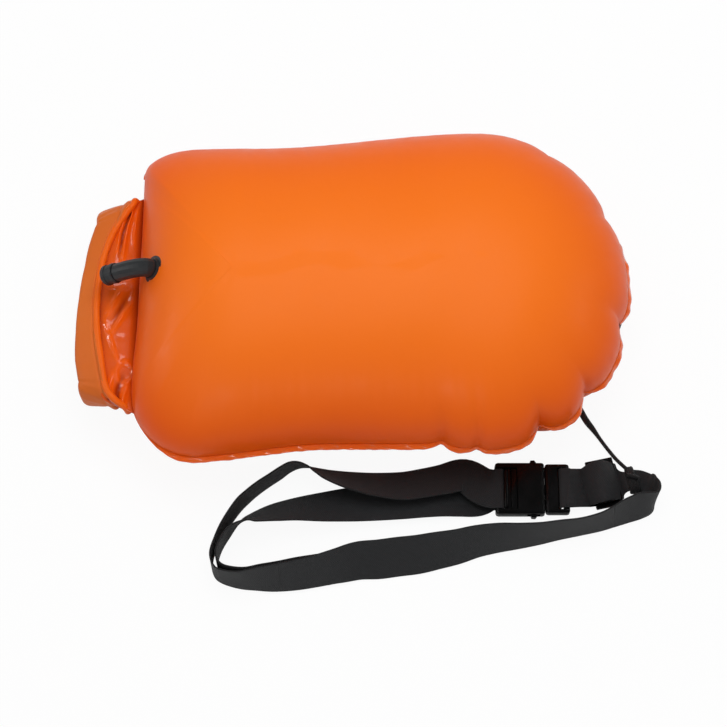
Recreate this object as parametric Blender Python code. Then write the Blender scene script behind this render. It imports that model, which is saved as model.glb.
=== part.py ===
"""Open water swim buoy: a twin-chamber inflatable dry bag with a roll-top mouth,
a waist belt and a tether, laid on a floor as it is photographed.

Metres, +Z up, +X towards the nose of the bag, -Y towards the belt.
The origin is the centre of the flat that the bag rests on.
"""
import math

import bpy
import bmesh
from mathutils import Matrix, Vector

for old in list(bpy.data.objects):
    bpy.data.objects.remove(old, do_unlink=True)

# Bag, sizes of the inflated body
bag_length = 0.452          # weld line, neck end to nose
bag_half_width = 0.152      # weld line at the widest place
nose_reach = 0.137          # length of the half ellipse of the nose
nose_centre = 0.085         # X of that ellipse's centre
nose_shift = 0.009          # the nose end lies a little further back than the neck end
neck_half_width_of_bag = 0.147
waist_dip = 0.007
far_corner_radius = 0.034
near_corner_radius = 0.056
chamber_rise = 0.085        # how far a chamber swells from the weld line
seam_height = 0.072
bag_left = nose_centre + nose_reach - bag_length
spine_inset = 0.100
spine_left = bag_left + spine_inset     # the crown of each chamber runs from here to the nose's centre
film_thickness = 0.0006
flange_width = 0.009
flange_thickness = 0.0022
touching_gap = 0.0003
bevel_share = 0.3

# Puckers of the welded edge round the nose: angle in degrees, depth share, half width in degrees
pucker_shares = [(-68, 0.050, 7), (-43, 0.045, 7), (-15, 0.035, 7),
                 (15, 0.022, 7), (36, 0.030, 7), (62, 0.022, 7)]

# Neck and rolled mouth
neck_sheet = 0.0012
neck_bulge = 0.007
neck_far = 0.101
neck_near = -0.112
neck_span_share = 0.93
roll_width = 0.030
roll_thickness = 0.010
roll_tilt = 15
neck_length = 0.0435
roll_x = bag_left - neck_length
roll_bow = 0.0125
roll_skew = 0.0045
roll_height = 0.0745
roll_half_span = 0.080
roll_hang = 0.044
stiffener_width = 0.020
stiffener_thickness = 0.0010
tab_width = 0.025
tab_thickness = 0.0018

# Inflation valves
valve_inset = 0.0175
valve_x = bag_left + valve_inset
valve_y = 0.0125
valve_base_radius = 0.0135
valve_base_thickness = 0.0016
valve_collar_radius = 0.0105
valve_collar_height = 0.0042
valve_tube_radius = 0.0085
valve_bore_radius = 0.0038
valve_spigot_radius = 0.0060
valve_spigot_length = 0.0110
valve_cap_radius = 0.0095
valve_cap_length = 0.0125
valve_cap_lip = 0.0046
valve_plug_radius = 0.0042
valve_stem_radius = 0.0026
valve_stem_length = 0.0120
valve_tube_reach = 0.0400
valve_tube_drop = 0.0165
valve_bend = 0.0100
valve_clearance = 0.0004

# Waist belt
webbing_width = 0.038
webbing_thickness = 0.0016
belt_right = 0.254
belt_span = 0.416
belt_left = belt_right - belt_span
hardware_run = 0.154        # from the buckle's start to the belt's right end
hardware_share = 0.3702     # that run's share of the span where the route was drawn
belt_far = -0.130
belt_depth = 0.128

# Waist buckle, side release
waist_buckle_x = belt_right - hardware_run
waist_buckle_y = -0.1615
waist_buckle_z = 0.0062
waist_female_length = 0.046
waist_male_length = 0.023
waist_buckle_width = 0.050
waist_buckle_thickness = 0.0120

# Roll-top buckle, side release
roll_female_length = 0.034
roll_male_length = 0.018
roll_buckle_width = 0.034
roll_buckle_thickness = 0.0095

# Strap adjuster
glide_length = 0.026
glide_width = 0.047
glide_thickness = 0.0034
strap_heading = 12          # degrees, from the male half towards the hitch
strap_lead = 0.002
glide_along = 0.0315        # adjuster's middle along the strap

# Tether
hitch_along = 0.0570
hitch_across = -0.0035
hitch_z = 0.0084
hitch_length = 0.0120
knot_length = 0.0094
hitch_bunch_width = 0.0195
hitch_bunch_thickness = 0.0044
tether_diameter = 0.0035
ring_wire = 0.0030
ring_width = 0.024
ring_depth = 0.017
patch_length = 0.034
patch_width = 0.026
patch_thickness = 0.0012
tab_sleeve_radius = 0.0033
tab_sleeve_width = 0.013
coil_x = 0.203
coil_y = 0.010
coil_radius = 0.0185
eye_height = 0.0085
eye_reach = 0.0075
eye_rise = 0.00515
eye_open = 26
eye_points = 14
knot_radius = 0.0048
coil_turns = 2
coil_layers = 2

outline_steps_nose = 30
outline_steps_side = 8
outline_steps_corner = 4
outline_steps_neck = 6


def material(name, colour, roughness, metallic=0.0):
    mat = bpy.data.materials.new(name)
    mat.use_nodes = True
    shader = mat.node_tree.nodes["Principled BSDF"]
    shader.inputs["Base Color"].default_value = (*colour, 1.0)
    shader.inputs["Roughness"].default_value = roughness
    shader.inputs["Metallic"].default_value = metallic
    return mat


orange_film = material("orange_film", (0.84, 0.17, 0.02), 0.35)
liner_film = material("liner_film", (0.70, 0.70, 0.68), 0.50)
black_webbing = material("black_webbing", (0.025, 0.025, 0.025), 0.85)
black_acetal = material("black_acetal", (0.012, 0.012, 0.012), 0.28)
grey_rubber = material("grey_rubber", (0.035, 0.037, 0.040), 0.55)
black_cord = material("black_cord", (0.015, 0.015, 0.015), 0.80)
bright_steel = material("bright_steel", (0.60, 0.60, 0.60), 0.25, 1.0)


def add_mesh(name, points, faces, mat, smooth=True):
    """One object from points and faces, its faces turned outwards."""
    mesh = bpy.data.meshes.new(name)
    mesh.from_pydata([tuple(p) for p in points], [], faces)
    work = bmesh.new()
    work.from_mesh(mesh)
    bmesh.ops.recalc_face_normals(work, faces=work.faces)
    bmesh.ops.triangulate(work, faces=[f for f in work.faces if len(f.verts) > 4])
    if work.calc_volume(signed=True) < 0:
        bmesh.ops.reverse_faces(work, faces=work.faces)
    work.to_mesh(mesh)
    work.free()
    if smooth:
        mesh.shade_smooth()
        mesh.set_sharp_from_angle(angle=math.radians(40))
    mesh.materials.append(mat)
    thing = bpy.data.objects.new(name, mesh)
    bpy.context.scene.collection.objects.link(thing)
    return thing


def grid_faces(rows, columns, closed_rows=False):
    """Quads between consecutive rings of points; each ring is closed."""
    faces = []
    for i in range(rows if closed_rows else rows - 1):
        here, there = i * columns, ((i + 1) % rows) * columns
        for j in range(columns):
            k = (j + 1) % columns
            faces.append((here + j, here + k, there + k, there + j))
    return faces


def loft(name, rings, mat, caps=True):
    """A closed body through rings of equal count."""
    count = len(rings[0])
    faces = grid_faces(len(rings), count)
    if caps:
        faces.append(tuple(range(count)))
        faces.append(tuple(range((len(rings) - 1) * count, len(rings) * count)))
    return add_mesh(name, [p for ring in rings for p in ring], faces, mat)


def pipe(name, outer, inner, mat):
    """A body with a through bore: outer rings, then inner rings back again."""
    rings = outer + inner[::-1]
    faces = grid_faces(len(rings), len(outer[0]), closed_rows=True)
    return add_mesh(name, [p for ring in rings for p in ring], faces, mat)


def cut(target, cutter):
    cutter.hide_render = True
    cutter.display_type = "WIRE"
    step = target.modifiers.new("cut_" + cutter.name, "BOOLEAN")
    step.operation = "DIFFERENCE"
    step.object = cutter
    step.solver = "EXACT"


def block(name, low, high, mat, bevel=0.0, frame=None):
    """A box from its two corners, in a frame, with an optional bevel."""
    corners = [Vector((x, y, z)) for z in (low[2], high[2])
               for x, y in ((low[0], low[1]), (high[0], low[1]), (high[0], high[1]), (low[0], high[1]))]
    faces = [(0, 3, 2, 1), (4, 5, 6, 7), (0, 1, 5, 4), (1, 2, 6, 5), (2, 3, 7, 6), (3, 0, 4, 7)]
    thing = add_mesh(name, corners, faces, mat)
    if frame is not None:
        thing.matrix_world = frame
    if bevel:
        step = thing.modifiers.new("bevel", "BEVEL")
        step.width = bevel
        step.segments = 2
    return thing


def frame_at(origin, x_axis, z_hint):
    """A frame with its X along x_axis and its Z near z_hint."""
    x = Vector(x_axis).normalized()
    y = Vector(z_hint).cross(x).normalized()
    z = x.cross(y)
    turn = Matrix((x, y, z)).transposed().to_4x4()
    return Matrix.Translation(Vector(origin)) @ turn


def circle(count, a, b):
    turns = [2 * math.pi * k / count for k in range(count)]
    return [(a * math.cos(t), b * math.sin(t)) for t in turns]


def sweep_rings(path, wides, sections):
    """Rings round a path: wides are the section's long directions, sections lists of (a, b)."""
    rings = []
    for i, point in enumerate(path):
        ahead = path[min(i + 1, len(path) - 1)] - path[max(i - 1, 0)]
        wide = wides[i] - ahead.normalized() * wides[i].dot(ahead.normalized())
        wide.normalize()
        thick = ahead.normalized().cross(wide)
        rings.append([point + wide * a + thick * b for a, b in sections[i]])
    return rings


def smooth_curve(rows, steps):
    """A Catmull-Rom curve through rows of numbers, sampled evenly between each two."""
    rows = [Vector(r) for r in rows]
    made = []
    for i in range(len(rows) - 1):
        a, b = rows[max(i - 1, 0)], rows[i]
        c, d = rows[i + 1], rows[min(i + 2, len(rows) - 1)]
        for k in range(steps):
            t = k / steps
            made.append(0.5 * ((2 * b) + (c - a) * t + (2 * a - 5 * b + 4 * c - d) * t * t
                               + (3 * b - a - 3 * c + d) * t ** 3))
    made.append(rows[-1])
    return made


def bag_outline(grow, pucker_keep):
    """The weld line seen from above, anticlockwise from the nose's near side, grown outwards."""
    left = bag_left
    points = []
    for k in range(outline_steps_nose + 1):
        angle = -90 + 180 * k / outline_steps_nose
        pucker = sum(depth * math.exp(-((angle - at) / wide) ** 2) for at, depth, wide in pucker_shares)
        scale = 1 - pucker * pucker_keep
        turn = math.radians(angle)
        points.append((nose_centre + (nose_reach + grow) * scale * math.cos(turn),
                       nose_shift + (bag_half_width + grow) * scale * math.sin(turn)))

    def side(share, way, radius):
        """A point of the long side, share 0 at the nose and 1 at the corner's start."""
        x = nose_centre + (left + radius - nose_centre) * share
        half = bag_half_width + (neck_half_width_of_bag - bag_half_width) * share
        half += grow - waist_dip * math.sin(math.pi * share) ** 2
        return (x, nose_shift * (1 - share) + way * half)

    def corner(radius, way, start, end):
        middle = side(1, way, radius)
        centre = (left + radius, middle[1] - way * (radius + grow))
        made = []
        for k in range(1, outline_steps_corner + 1):
            turn = math.radians(start + (end - start) * k / outline_steps_corner)
            made.append((centre[0] + (radius + grow) * math.cos(turn),
                         centre[1] + (radius + grow) * math.sin(turn)))
        return made

    for k in range(1, outline_steps_side + 1):
        points.append(side(k / outline_steps_side, 1, far_corner_radius))
    points += corner(far_corner_radius, 1, 90, 180)
    start = points[-1]
    near = corner(near_corner_radius, -1, 180, 270)
    near_start = (left - grow, side(1, -1, near_corner_radius)[1] + near_corner_radius + grow)
    for k in range(1, outline_steps_neck + 1):
        share = k / outline_steps_neck
        points.append((left - grow, start[1] + (near_start[1] - start[1]) * share))
    points += near
    for k in range(outline_steps_side - 1, 0, -1):
        points.append(side(k / outline_steps_side, -1, near_corner_radius))
    return points


def chamber_ring(angle, base, way):
    """One ring of a chamber: the weld line drawn in towards the spine, at its height."""
    share = math.cos(angle)
    ring = []
    for x, y in bag_outline(0.0, share * share):
        spine = min(max(x, spine_left), nose_centre)
        centre_y = nose_shift * (spine - spine_left) / (nose_centre - spine_left)
        ring.append(Vector((spine + (x - spine) * share, centre_y + (y - centre_y) * share,
                            base + way * chamber_rise * math.sin(angle))))
    return ring


def surface_point(x, y_side, way):
    """A point and outward normal of a chamber's neck end slope, at a given X."""
    share = (spine_left - x) / spine_inset
    rise = math.sqrt(1 - share * share)
    point = Vector((x, y_side, seam_height + way * (film_gap + chamber_rise * rise)))
    normal = Vector((-share / spine_inset, 0, way * rise / chamber_rise))
    return point, normal.normalized()


film_gap = touching_gap * 1.5 + film_thickness


def build_chambers():
    crown_angles = [0, 8, 18, 30, 43, 56, 68, 78, 84]
    rings = [chamber_ring(math.radians(a), seam_height + film_gap, 1) for a in crown_angles]
    front = loft("front_air_chamber", rings, orange_film)
    rest = math.asin((seam_height - film_gap) / chamber_rise)
    shares = [0, 0.12, 0.28, 0.46, 0.66, 0.84, 1]
    rings = [chamber_ring(rest * s, seam_height - film_gap, -1) for s in shares]
    for point in rings[-1]:
        point.z = 0.0
    back = loft("back_air_chamber", rings, orange_film)
    return front, back


def build_film_layers():
    for name, low, high in (("front_liner", touching_gap / 2, touching_gap / 2 + film_thickness),
                            ("back_liner", -touching_gap / 2 - film_thickness, -touching_gap / 2)):
        line = bag_outline(0.0, 1)
        rings = [[Vector((x, y, seam_height + z)) for x, y in line] for z in (low, high)]
        loft(name, rings, liner_film)


def build_flange():
    """The welded edge, from the far corner round the nose to the near corner."""
    inner = bag_outline(touching_gap, 1)
    outer = bag_outline(flange_width, 1)
    first = outline_steps_nose + outline_steps_side + outline_steps_corner
    last = first + outline_steps_neck
    order = list(range(last + 1, len(inner))) + list(range(0, first))
    half = flange_thickness / 2
    rings = []
    for k in order:
        (ix, iy), (ox, oy) = inner[k], outer[k]
        rings.append([Vector((ix, iy, seam_height - half)), Vector((ox, oy, seam_height - half)),
                      Vector((ox, oy, seam_height + half)), Vector((ix, iy, seam_height + half))])
    loft("weld_flange", rings, orange_film)


def roll_centre(y):
    """X of the roll's middle at a given Y: bowed away from the bag and a little skewed."""
    share = y / roll_half_span
    return roll_x + roll_bow * share * share + roll_skew * share


def build_neck():
    """The two sheets of the neck, from the chambers' welded ends into the roll."""
    at_bag = (neck_far, neck_near)
    at_roll = (roll_half_span * neck_span_share, -roll_half_span * neck_span_share)
    along, across = 5, 10
    for name, way in (("neck_front_panel", 1), ("neck_back_panel", -1)):
        rings = []
        for i in range(along + 1):
            share = i / along
            ring = []
            for side in (1, 0):
                row = []
                for j in range(across + 1):
                    t = j / across
                    y0 = at_bag[0] + (at_bag[1] - at_bag[0]) * t
                    y1 = at_roll[0] + (at_roll[1] - at_roll[0]) * t
                    spread = (y1 / roll_half_span) ** 2 * roll_thickness * 0.25
                    x1 = roll_centre(y1) + roll_width / 2 * math.cos(math.radians(roll_tilt)) + spread
                    x1 += touching_gap * 3
                    x = (bag_left - touching_gap) * (1 - share) + x1 * share
                    y = y0 + (y1 - y0) * share
                    rise = neck_bulge * math.sin(math.pi * share) * math.sin(math.pi * t)
                    slope = (roll_height + roll_width / 2 * math.sin(math.radians(roll_tilt)) - seam_height) * share
                    z = seam_height + slope + way * (touching_gap / 2 + rise + side * neck_sheet)
                    row.append(Vector((x, y, z)))
                ring += row if side else row[::-1]
            rings.append(ring)
        loft(name, rings, orange_film)


def roll_route():
    """The roll: bowed along the mouth, bent down at both ends and in under the neck."""
    rows = []
    lower = roll_height - roll_hang
    for way in (1, -1):
        arm = []
        for y, z in ((1.0, 0.0), (1.17, -0.18), (1.21, -0.52), (1.10, -0.88), (0.93, -1.0)):
            y_here = way * y * roll_half_span
            arm.append((roll_centre(way * roll_half_span), y_here, roll_height + z * roll_hang))
        rows.append(arm)
    middle = []
    for share in (0.66, 0.33, 0.0, -0.33, -0.66):
        y_here = share * roll_half_span
        middle.append((roll_centre(y_here), y_here, roll_height))
    route = smooth_curve(rows[0][::-1] + middle + rows[1], 3)
    return route, lower


def build_roll():
    route, lower = roll_route()
    turn = math.radians(roll_tilt)
    wides = []
    for p in route:
        flat = min(1.0, max(0.0, (p.z - lower) / roll_hang))
        wides.append(Vector((math.cos(turn * flat), 0, math.sin(turn * flat))))
    outer = [[(a, b) for a, b in rounded_section(roll_width, roll_thickness)]] * len(route)
    slot = (stiffener_width + 6 * touching_gap, stiffener_thickness + 6 * touching_gap)
    inner = [flat_section(*slot)] * len(route)
    pipe("roll_closure", sweep_rings(route, wides, outer), sweep_rings(route, wides, inner), orange_film)
    strip = [flat_section(stiffener_width, stiffener_thickness)] * len(route)
    loft("roll_stiffener", sweep_rings(route, wides, strip), black_acetal)
    return route


def rounded_section(width, thickness):
    """Twelve points of a flat oval."""
    half, radius = width / 2 - thickness / 2, thickness / 2
    points = []
    for middle, start in ((half, -75), (-half, 105)):
        for k in range(6):
            turn = math.radians(start + 30 * k)
            points.append((middle + radius * math.cos(turn), radius * math.sin(turn)))
    return points


def flat_section(width, thickness):
    """Twelve points of a rectangle, matched to the oval's."""
    half_w, half_t = width / 2, thickness / 2
    shares = [(0.99, -1), (1, -0.6), (1, -0.2), (1, 0.2), (1, 0.6), (0.99, 1),
              (-0.99, 1), (-1, 0.6), (-1, 0.2), (-1, -0.2), (-1, -0.6), (-0.99, -1)]
    return [(half_w * a, half_t * b) for a, b in shares]


level_share = 0.05          # a strap steeper than this keeps the side it had


def strap_rings(rows, steps=2, fixed_side=None, from_sample=0):
    """Strap sections from rows of x, y, z of its middle, lean in degrees, width and thickness.

    The strap leans towards the left of its heading: 90 degrees is upright, 0 is flat.
    A fixed side, from one sample on, keeps the sections upright and square to it where the strap
    climbs, dips or gathers steeply.
    """
    samples = smooth_curve(rows, steps)
    path = [Vector(s[:3]) for s in samples]
    rings = []
    first_steps = path[min(4 * steps, len(path) - 1)] - path[0]
    last_side = Vector((-first_steps.y, first_steps.x, 0)).normalized()
    for i, s in enumerate(samples):
        ahead = path[min(i + 1, len(path) - 1)] - path[max(i - 1, 0)]
        side = Vector((-ahead.y, ahead.x, 0))
        side = side.normalized() if side.length > abs(ahead.z) * level_share else last_side.copy()
        if side.dot(last_side) < 0:
            side.negate()
        last_side = side
        ahead.normalize()
        if fixed_side:
            turned = min(max((i - from_sample) / 4 + 1, 0), 1)
            side = side.lerp(fixed_side, turned).normalized()
            ahead = ahead.lerp(Vector((fixed_side.y, -fixed_side.x, 0)), turned).normalized()
        lean = math.radians(s[3])
        wide = side * math.cos(lean) + Vector((0, 0, math.sin(lean)))
        wide = (wide - ahead * wide.dot(ahead)).normalized()
        thick = ahead.cross(wide) * (s[5] / 2)
        near, far = path[i] - wide * (s[4] / 2), path[i] + wide * (s[4] / 2)
        rings.append([near - thick, far - thick, far + thick, near + thick])
    return rings


def ribbon(name, rows, mat, steps=2, fixed_side=None, from_sample=0):
    """One strap piece, lofted through the sections of its rows."""
    return loft(name, strap_rings(rows, steps, fixed_side, from_sample), mat)


def split_ribbon(names, rows, cuts, mat, steps=2):
    """One strap made in pieces that meet face to face at the cut rows, a touching gap apart."""
    rings = strap_rings(rows, steps)
    ends = [0] + [cut * steps for cut in cuts] + [len(rings) - 1]
    for name, start, end in zip(names, ends, ends[1:]):
        piece = [list(ring) for ring in rings[start:end + 1]]
        if start:
            reach = touching_gap / (piece[1][0] - piece[0][0]).length
            piece[0] = [p.lerp(q, reach) for p, q in zip(piece[0], piece[1])]
        loft(name, piece, mat)


def strap_frame():
    """Where the strap leaves the male half, turned to the strap's own heading."""
    start = Vector((waist_buckle_x + waist_female_length + waist_male_length + strap_lead, waist_buckle_y, 0))
    return Matrix.Translation(start) @ Matrix.Rotation(math.radians(strap_heading), 4, "Z")


def strap_row(along, across, height, lean, width, thickness):
    """A strap row whose middle is at a place in the strap's frame."""
    return (*(strap_frame() @ Vector((along, across, height))), lean, width, thickness)


def hitch_row(shift, lean, width, thickness):
    """A strap row centred in the tether's hitch, shifted along the strap."""
    return strap_row(hitch_along + shift, hitch_across, hitch_z, lean, width, thickness)


def belt_x(share):
    """X of a share of the belt's span: the buckle's side keeps its length, and the rest takes up the span."""
    loop = 1 - hardware_share
    if share > loop:
        return waist_buckle_x + (share - loop) / hardware_share * hardware_run
    return belt_left + share / loop * (belt_span - hardware_run)


def belt_rows(shares):
    """Rows of a strap from shares of the belt's span, depth and webbing width.

    A share row places the strap's lower edge; the strap leans from it to the left of its heading.
    """
    places = [(belt_x(a), belt_far - b * belt_depth) for a, b, c, lean in shares]
    rows = []
    for i, (a, b, c, lean) in enumerate(shares):
        before, after = places[max(i - 1, 0)], places[min(i + 1, len(places) - 1)]
        ahead = Vector((after[0] - before[0], after[1] - before[1])).normalized()
        reach = math.cos(math.radians(lean)) * webbing_width / 2
        rise = math.sin(math.radians(lean)) * webbing_width / 2
        rows.append((places[i][0] - ahead.y * reach, places[i][1] + ahead.x * reach,
                     c * webbing_width + rise, lean, webbing_width, webbing_thickness))
    return rows


# Strap routes, in shares of the belt's span, its depth and the webbing's width, with the lean
upper_shares = [
    (0.550, 0.008, 0.053, 20), (0.505, 0.047, 0.026, 27), (0.462, 0.078, 0.026, 29),
    (0.418, 0.102, 0.026, 31), (0.361, 0.109, 0.026, 40), (0.305, 0.102, 0.026, 50),
    (0.262, 0.090, 0.026, 60), (0.238, 0.078, 0.026, 68), (0.216, 0.066, 0.026, 75),
    (0.192, 0.070, 0.026, 81), (0.171, 0.102, 0.026, 87), (0.1515, 0.152, 0.026, 90)]
bend_shares = [
    (0.127, 0.207, 0.026, 90), (0.103, 0.266, 0.026, 91),
    (0.082, 0.328, 0.026, 92), (0.060, 0.406, 0.026, 93), (0.031, 0.547, 0.026, 92),
    (0.012, 0.664, 0.026, 90), (0.002, 0.781, 0.026, 90), (0.007, 0.875, 0.026, 88),
    (0.024, 0.930, 0.026, 85), (0.065, 0.973, 0.026, 79), (0.108, 0.992, 0.080, 69)]
lower_shares = [
    (0.151, 0.996, 0.080, 62), (0.197, 0.984, 0.080, 57),
    (0.240, 0.961, 0.080, 54), (0.284, 0.934, 0.080, 48), (0.329, 0.906, 0.026, 38),
    (0.373, 0.902, 0.026, 32), (0.416, 0.883, 0.026, 32), (0.462, 0.863, 0.026, 34),
    (0.505, 0.828, 0.026, 40), (0.550, 0.789, 0.026, 47), (0.594, 0.738, 0.026, 54),
    (0.639, 0.703, 0.026, 60), (0.683, 0.676, 0.026, 68), (0.728, 0.645, 0.026, 74),
    (0.772, 0.609, 0.026, 82), (0.817, 0.570, 0.026, 88), (0.863, 0.531, 0.026, 90),
    (0.893, 0.497, 0.026, 90)]
turn_shares = [
    (0.894, 0.496, 0.026, 90), (0.923, 0.457, 0.026, 90), (0.952, 0.430, 0.026, 90),
    (0.976, 0.406, 0.026, 90), (0.993, 0.371, 0.026, 90), (0.996, 0.328, 0.026, 90),
    (0.990, 0.289, 0.026, 88)]
tail_shares = [
    (0.585, 0.141, 0.026, 1), (0.545, 0.152, 0.026, 6), (0.505, 0.164, 0.026, 12),
    (0.462, 0.172, 0.026, 12), (0.418, 0.184, 0.026, 12), (0.361, 0.203, 0.026, 15),
    (0.305, 0.219, 0.026, 18), (0.240, 0.258, 0.026, 29), (0.175, 0.305, 0.026, 42),
    (0.127, 0.352, 0.026, 50), (0.084, 0.422, 0.026, 62), (0.060, 0.484, 0.026, 74),
    (0.040, 0.585, 0.026, 88), (0.022, 0.688, 0.026, 90), (0.014, 0.781, 0.026, 90),
    (0.019, 0.855, 0.026, 88), (0.034, 0.898, 0.026, 84), (0.070, 0.935, 0.026, 60),
    (0.108, 0.955, 0.034, 25), (0.149, 0.980, 0.036, 2), (0.197, 1.004, 0.034, 0),
    (0.245, 0.984, 0.034, 0), (0.293, 0.957, 0.034, 0)]


def side_release_buckle(prefix, frame, female, male, width, thickness, strap):
    """A side release buckle along its frame's X: the female from 0, the male after it."""
    wall = thickness * 0.16
    gap = touching_gap
    half, mid = width / 2, thickness / 2
    edge = thickness * 0.22
    strap_half = strap / 2 + gap * 3
    bar = female * 0.085
    slot = female * 0.14
    body_start = 2 * bar + 2 * slot
    bar_low, bar_high = thickness * 0.25, thickness * 0.78

    shell = block(prefix + "_female", (0, -half, 0), (female, half, thickness), black_acetal, edge, frame)

    def carve(target, name, low, high):
        tool = block(target.name + "_" + name, low, high, black_acetal, 0.0, frame)
        cut(target, tool)

    carve(shell, "slot_1", (bar, -strap_half, -wall), (bar + slot, strap_half, thickness + wall))
    carve(shell, "slot_2", (2 * bar + slot, -strap_half, -wall), (body_start, strap_half, thickness + wall))
    carve(shell, "bar_top", (-wall, -strap_half, bar_high), (body_start, strap_half, thickness + wall))
    carve(shell, "bar_under", (-wall, -strap_half, -wall), (body_start, strap_half, bar_low))
    socket = body_start + bar
    window = (female - socket) * 0.22
    sill = wall * 1.35
    carve(shell, "windows", (socket + window, -half - wall, sill),
          (female - window, half + wall, thickness - sill))
    carve(shell, "socket", (socket, -half + wall, wall), (female + wall, half - wall, thickness - wall))

    male_start = female + gap
    end = female + male
    plate = block(prefix + "_male", (male_start, -half * 0.96, thickness * 0.08),
                  (end, half * 0.96, thickness * 0.92), black_acetal, edge, frame)
    male_slot = male * 0.26
    carve(plate, "slot", (end - male_slot - bar * 1.4, -strap_half, -wall),
          (end - bar * 1.4, strap_half, thickness + wall))
    tongue = block(prefix + "_tongue", (socket + window, -half * 0.16, thickness * 0.30),
                   (male_start + male * 0.2, half * 0.16, thickness * 0.70), black_acetal, 0.0, frame)
    tongue.hide_render = True
    tongue.display_type = "WIRE"
    join = plate.modifiers.new("tongue", "BOOLEAN")
    join.operation = "UNION"
    join.object = tongue
    join.solver = "EXACT"

    root_y = half * 0.62
    root_x = male_start - gap
    arm_shares = [(0, -0.10), (0, 0.10), (-0.37, 0.11), (-0.48, 0.19), (-0.62, 0.245), (-0.86, 0.240),
                  (-1.0, 0.12), (-1.0, -0.02), (-0.80, 0.0), (-0.45, -0.03)]
    reach = root_x - (socket + window * 1.4)
    arms = []
    for name, way in (("near", -1), ("far", 1)):
        rings = []
        for z in (sill + gap * 2, thickness - sill - gap * 2):
            rings.append([Vector((x * reach, way * y * width, z - mid)) for x, y in arm_shares])
        arm = loft(prefix + "_arm_" + name, rings, black_acetal)
        arm.matrix_world = frame @ Matrix.Translation(Vector((root_x, way * root_y, mid)))
        arms.append(arm)
    return bar, slot, bar_low, bar_high, male_slot


def build_waist_belt():
    frame = Matrix.Translation(Vector((waist_buckle_x, waist_buckle_y,
                                       waist_buckle_z - waist_buckle_thickness / 2)))
    sizes = side_release_buckle("waist_buckle", frame, waist_female_length, waist_male_length,
                                waist_buckle_width, waist_buckle_thickness, webbing_width)
    bar, slot, bar_low, bar_high, male_slot = sizes
    base = waist_buckle_z - waist_buckle_thickness / 2
    t = webbing_thickness
    w = webbing_width
    centre = waist_buckle_y
    over = base + bar_high + touching_gap * 2 + t / 2
    under = base + bar_low - touching_gap - t / 2
    middle = base + (bar_low + bar_high) / 2
    turn_x = waist_buckle_x + bar + slot / 2
    first = [(turn_x, centre, middle + touching_gap, 0, w, t),
             (turn_x, centre, over - t, 0, w, t),
             (waist_buckle_x + bar * 1.25, centre, over, 0, w, t),
             (waist_buckle_x - bar, centre, over, 0, w, t),
             (waist_buckle_x - bar * 3.4, centre + t * 2.4, over * 0.80, 8, w, t)]
    rows = first + belt_rows(upper_shares + bend_shares + lower_shares)
    bend_start = len(first) + len(upper_shares) - 1
    split_ribbon(["belt_upper_strand", "belt_left_bend", "belt_lower_strand"], rows,
                 [bend_start, bend_start + len(bend_shares)], black_webbing)
    tail_start = [(turn_x, centre, middle - touching_gap, 0, w, t),
                  (turn_x, centre, under + t, 0, w, t),
                  (waist_buckle_x + bar * 1.25, centre, under, 0, w, t),
                  (waist_buckle_x - bar * 1.6, centre, under, 0, w, t)]
    ribbon("belt_tail", tail_start + belt_rows(tail_shares), black_webbing)
    build_strap_end(male_slot, bar)


def build_strap_end(male_slot, bar):
    """The strap of the male half: bar, adjuster, hitch and the turn back."""
    t, w = webbing_thickness, webbing_width
    male_end = waist_buckle_x + waist_female_length + waist_male_length
    slot_x = male_end - bar * 1.4 - male_slot / 2
    low = t / 2 + touching_gap * 3
    top = waist_buckle_z + waist_buckle_thickness * 0.42 + touching_gap + t / 2
    crest = low + t + glide_thickness + touching_gap * 3
    third = glide_length / 3
    inner = [strap_row(glide_along - touching_gap / 2, 0, crest, 0, w, t),
             strap_row(glide_along - third * 0.55, 0, crest, 0, w, t),
             strap_row(glide_along - third * 0.93, 0, low, 0, w, t),
             strap_row(glide_along - third * 1.6, 0, low, 0, w, t),
             strap_row(glide_along - third * 2.1, 0, low + t, 0, w, t),
             (male_end + bar * 0.5, waist_buckle_y, top + touching_gap, 0, w, t),
             (male_end - bar * 0.8, waist_buckle_y, top + touching_gap, 0, w, t),
             (slot_x, waist_buckle_y, top - t, 0, w, t),
             (slot_x, waist_buckle_y, waist_buckle_z, 0, w, t)]
    ribbon("belt_strap_inner", inner, black_webbing)
    bunch_w, bunch_t = hitch_bunch_width, hitch_bunch_thickness
    outer = [hitch_row(-touching_gap, 10, bunch_w, bunch_t),
             hitch_row(-hitch_length * 0.50, 10, bunch_w, bunch_t * 0.9),
             strap_row(hitch_along - hitch_length * 0.80, hitch_across * 0.6, hitch_z * 0.6, 6, w * 0.66, t * 1.6),
             strap_row(glide_along + third * 1.55, 0, low, 0, w * 0.96, t),
             strap_row(glide_along + third * 0.93, 0, low, 0, w, t),
             strap_row(glide_along + third * 0.55, 0, crest, 0, w, t),
             strap_row(glide_along + touching_gap / 2, 0, crest, 0, w, t)]
    near_side = strap_frame().to_3x3() @ Vector((0, -1, 0))
    ribbon("belt_strap_outer", outer, black_webbing, fixed_side=near_side)
    ending = belt_rows(turn_shares) + [
        strap_row(hitch_along + hitch_length * 1.62, hitch_across * 3.0, w * 0.47, 80, w * 0.84, t * 1.2),
        strap_row(hitch_along + hitch_length * 1.22, hitch_across * 1.7, w * 0.40, 48, w * 0.52, t * 1.8),
        hitch_row(hitch_length * 0.86, 14, bunch_w, bunch_t * 0.9),
        hitch_row(hitch_length * 0.56, 10, bunch_w, bunch_t),
        hitch_row(touching_gap, 10, bunch_w, bunch_t)]
    ribbon("belt_end_turn", ending, black_webbing, fixed_side=near_side, from_sample=len(ending) * 2 - 10)
    build_hitch()
    build_adjuster(low)


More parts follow.
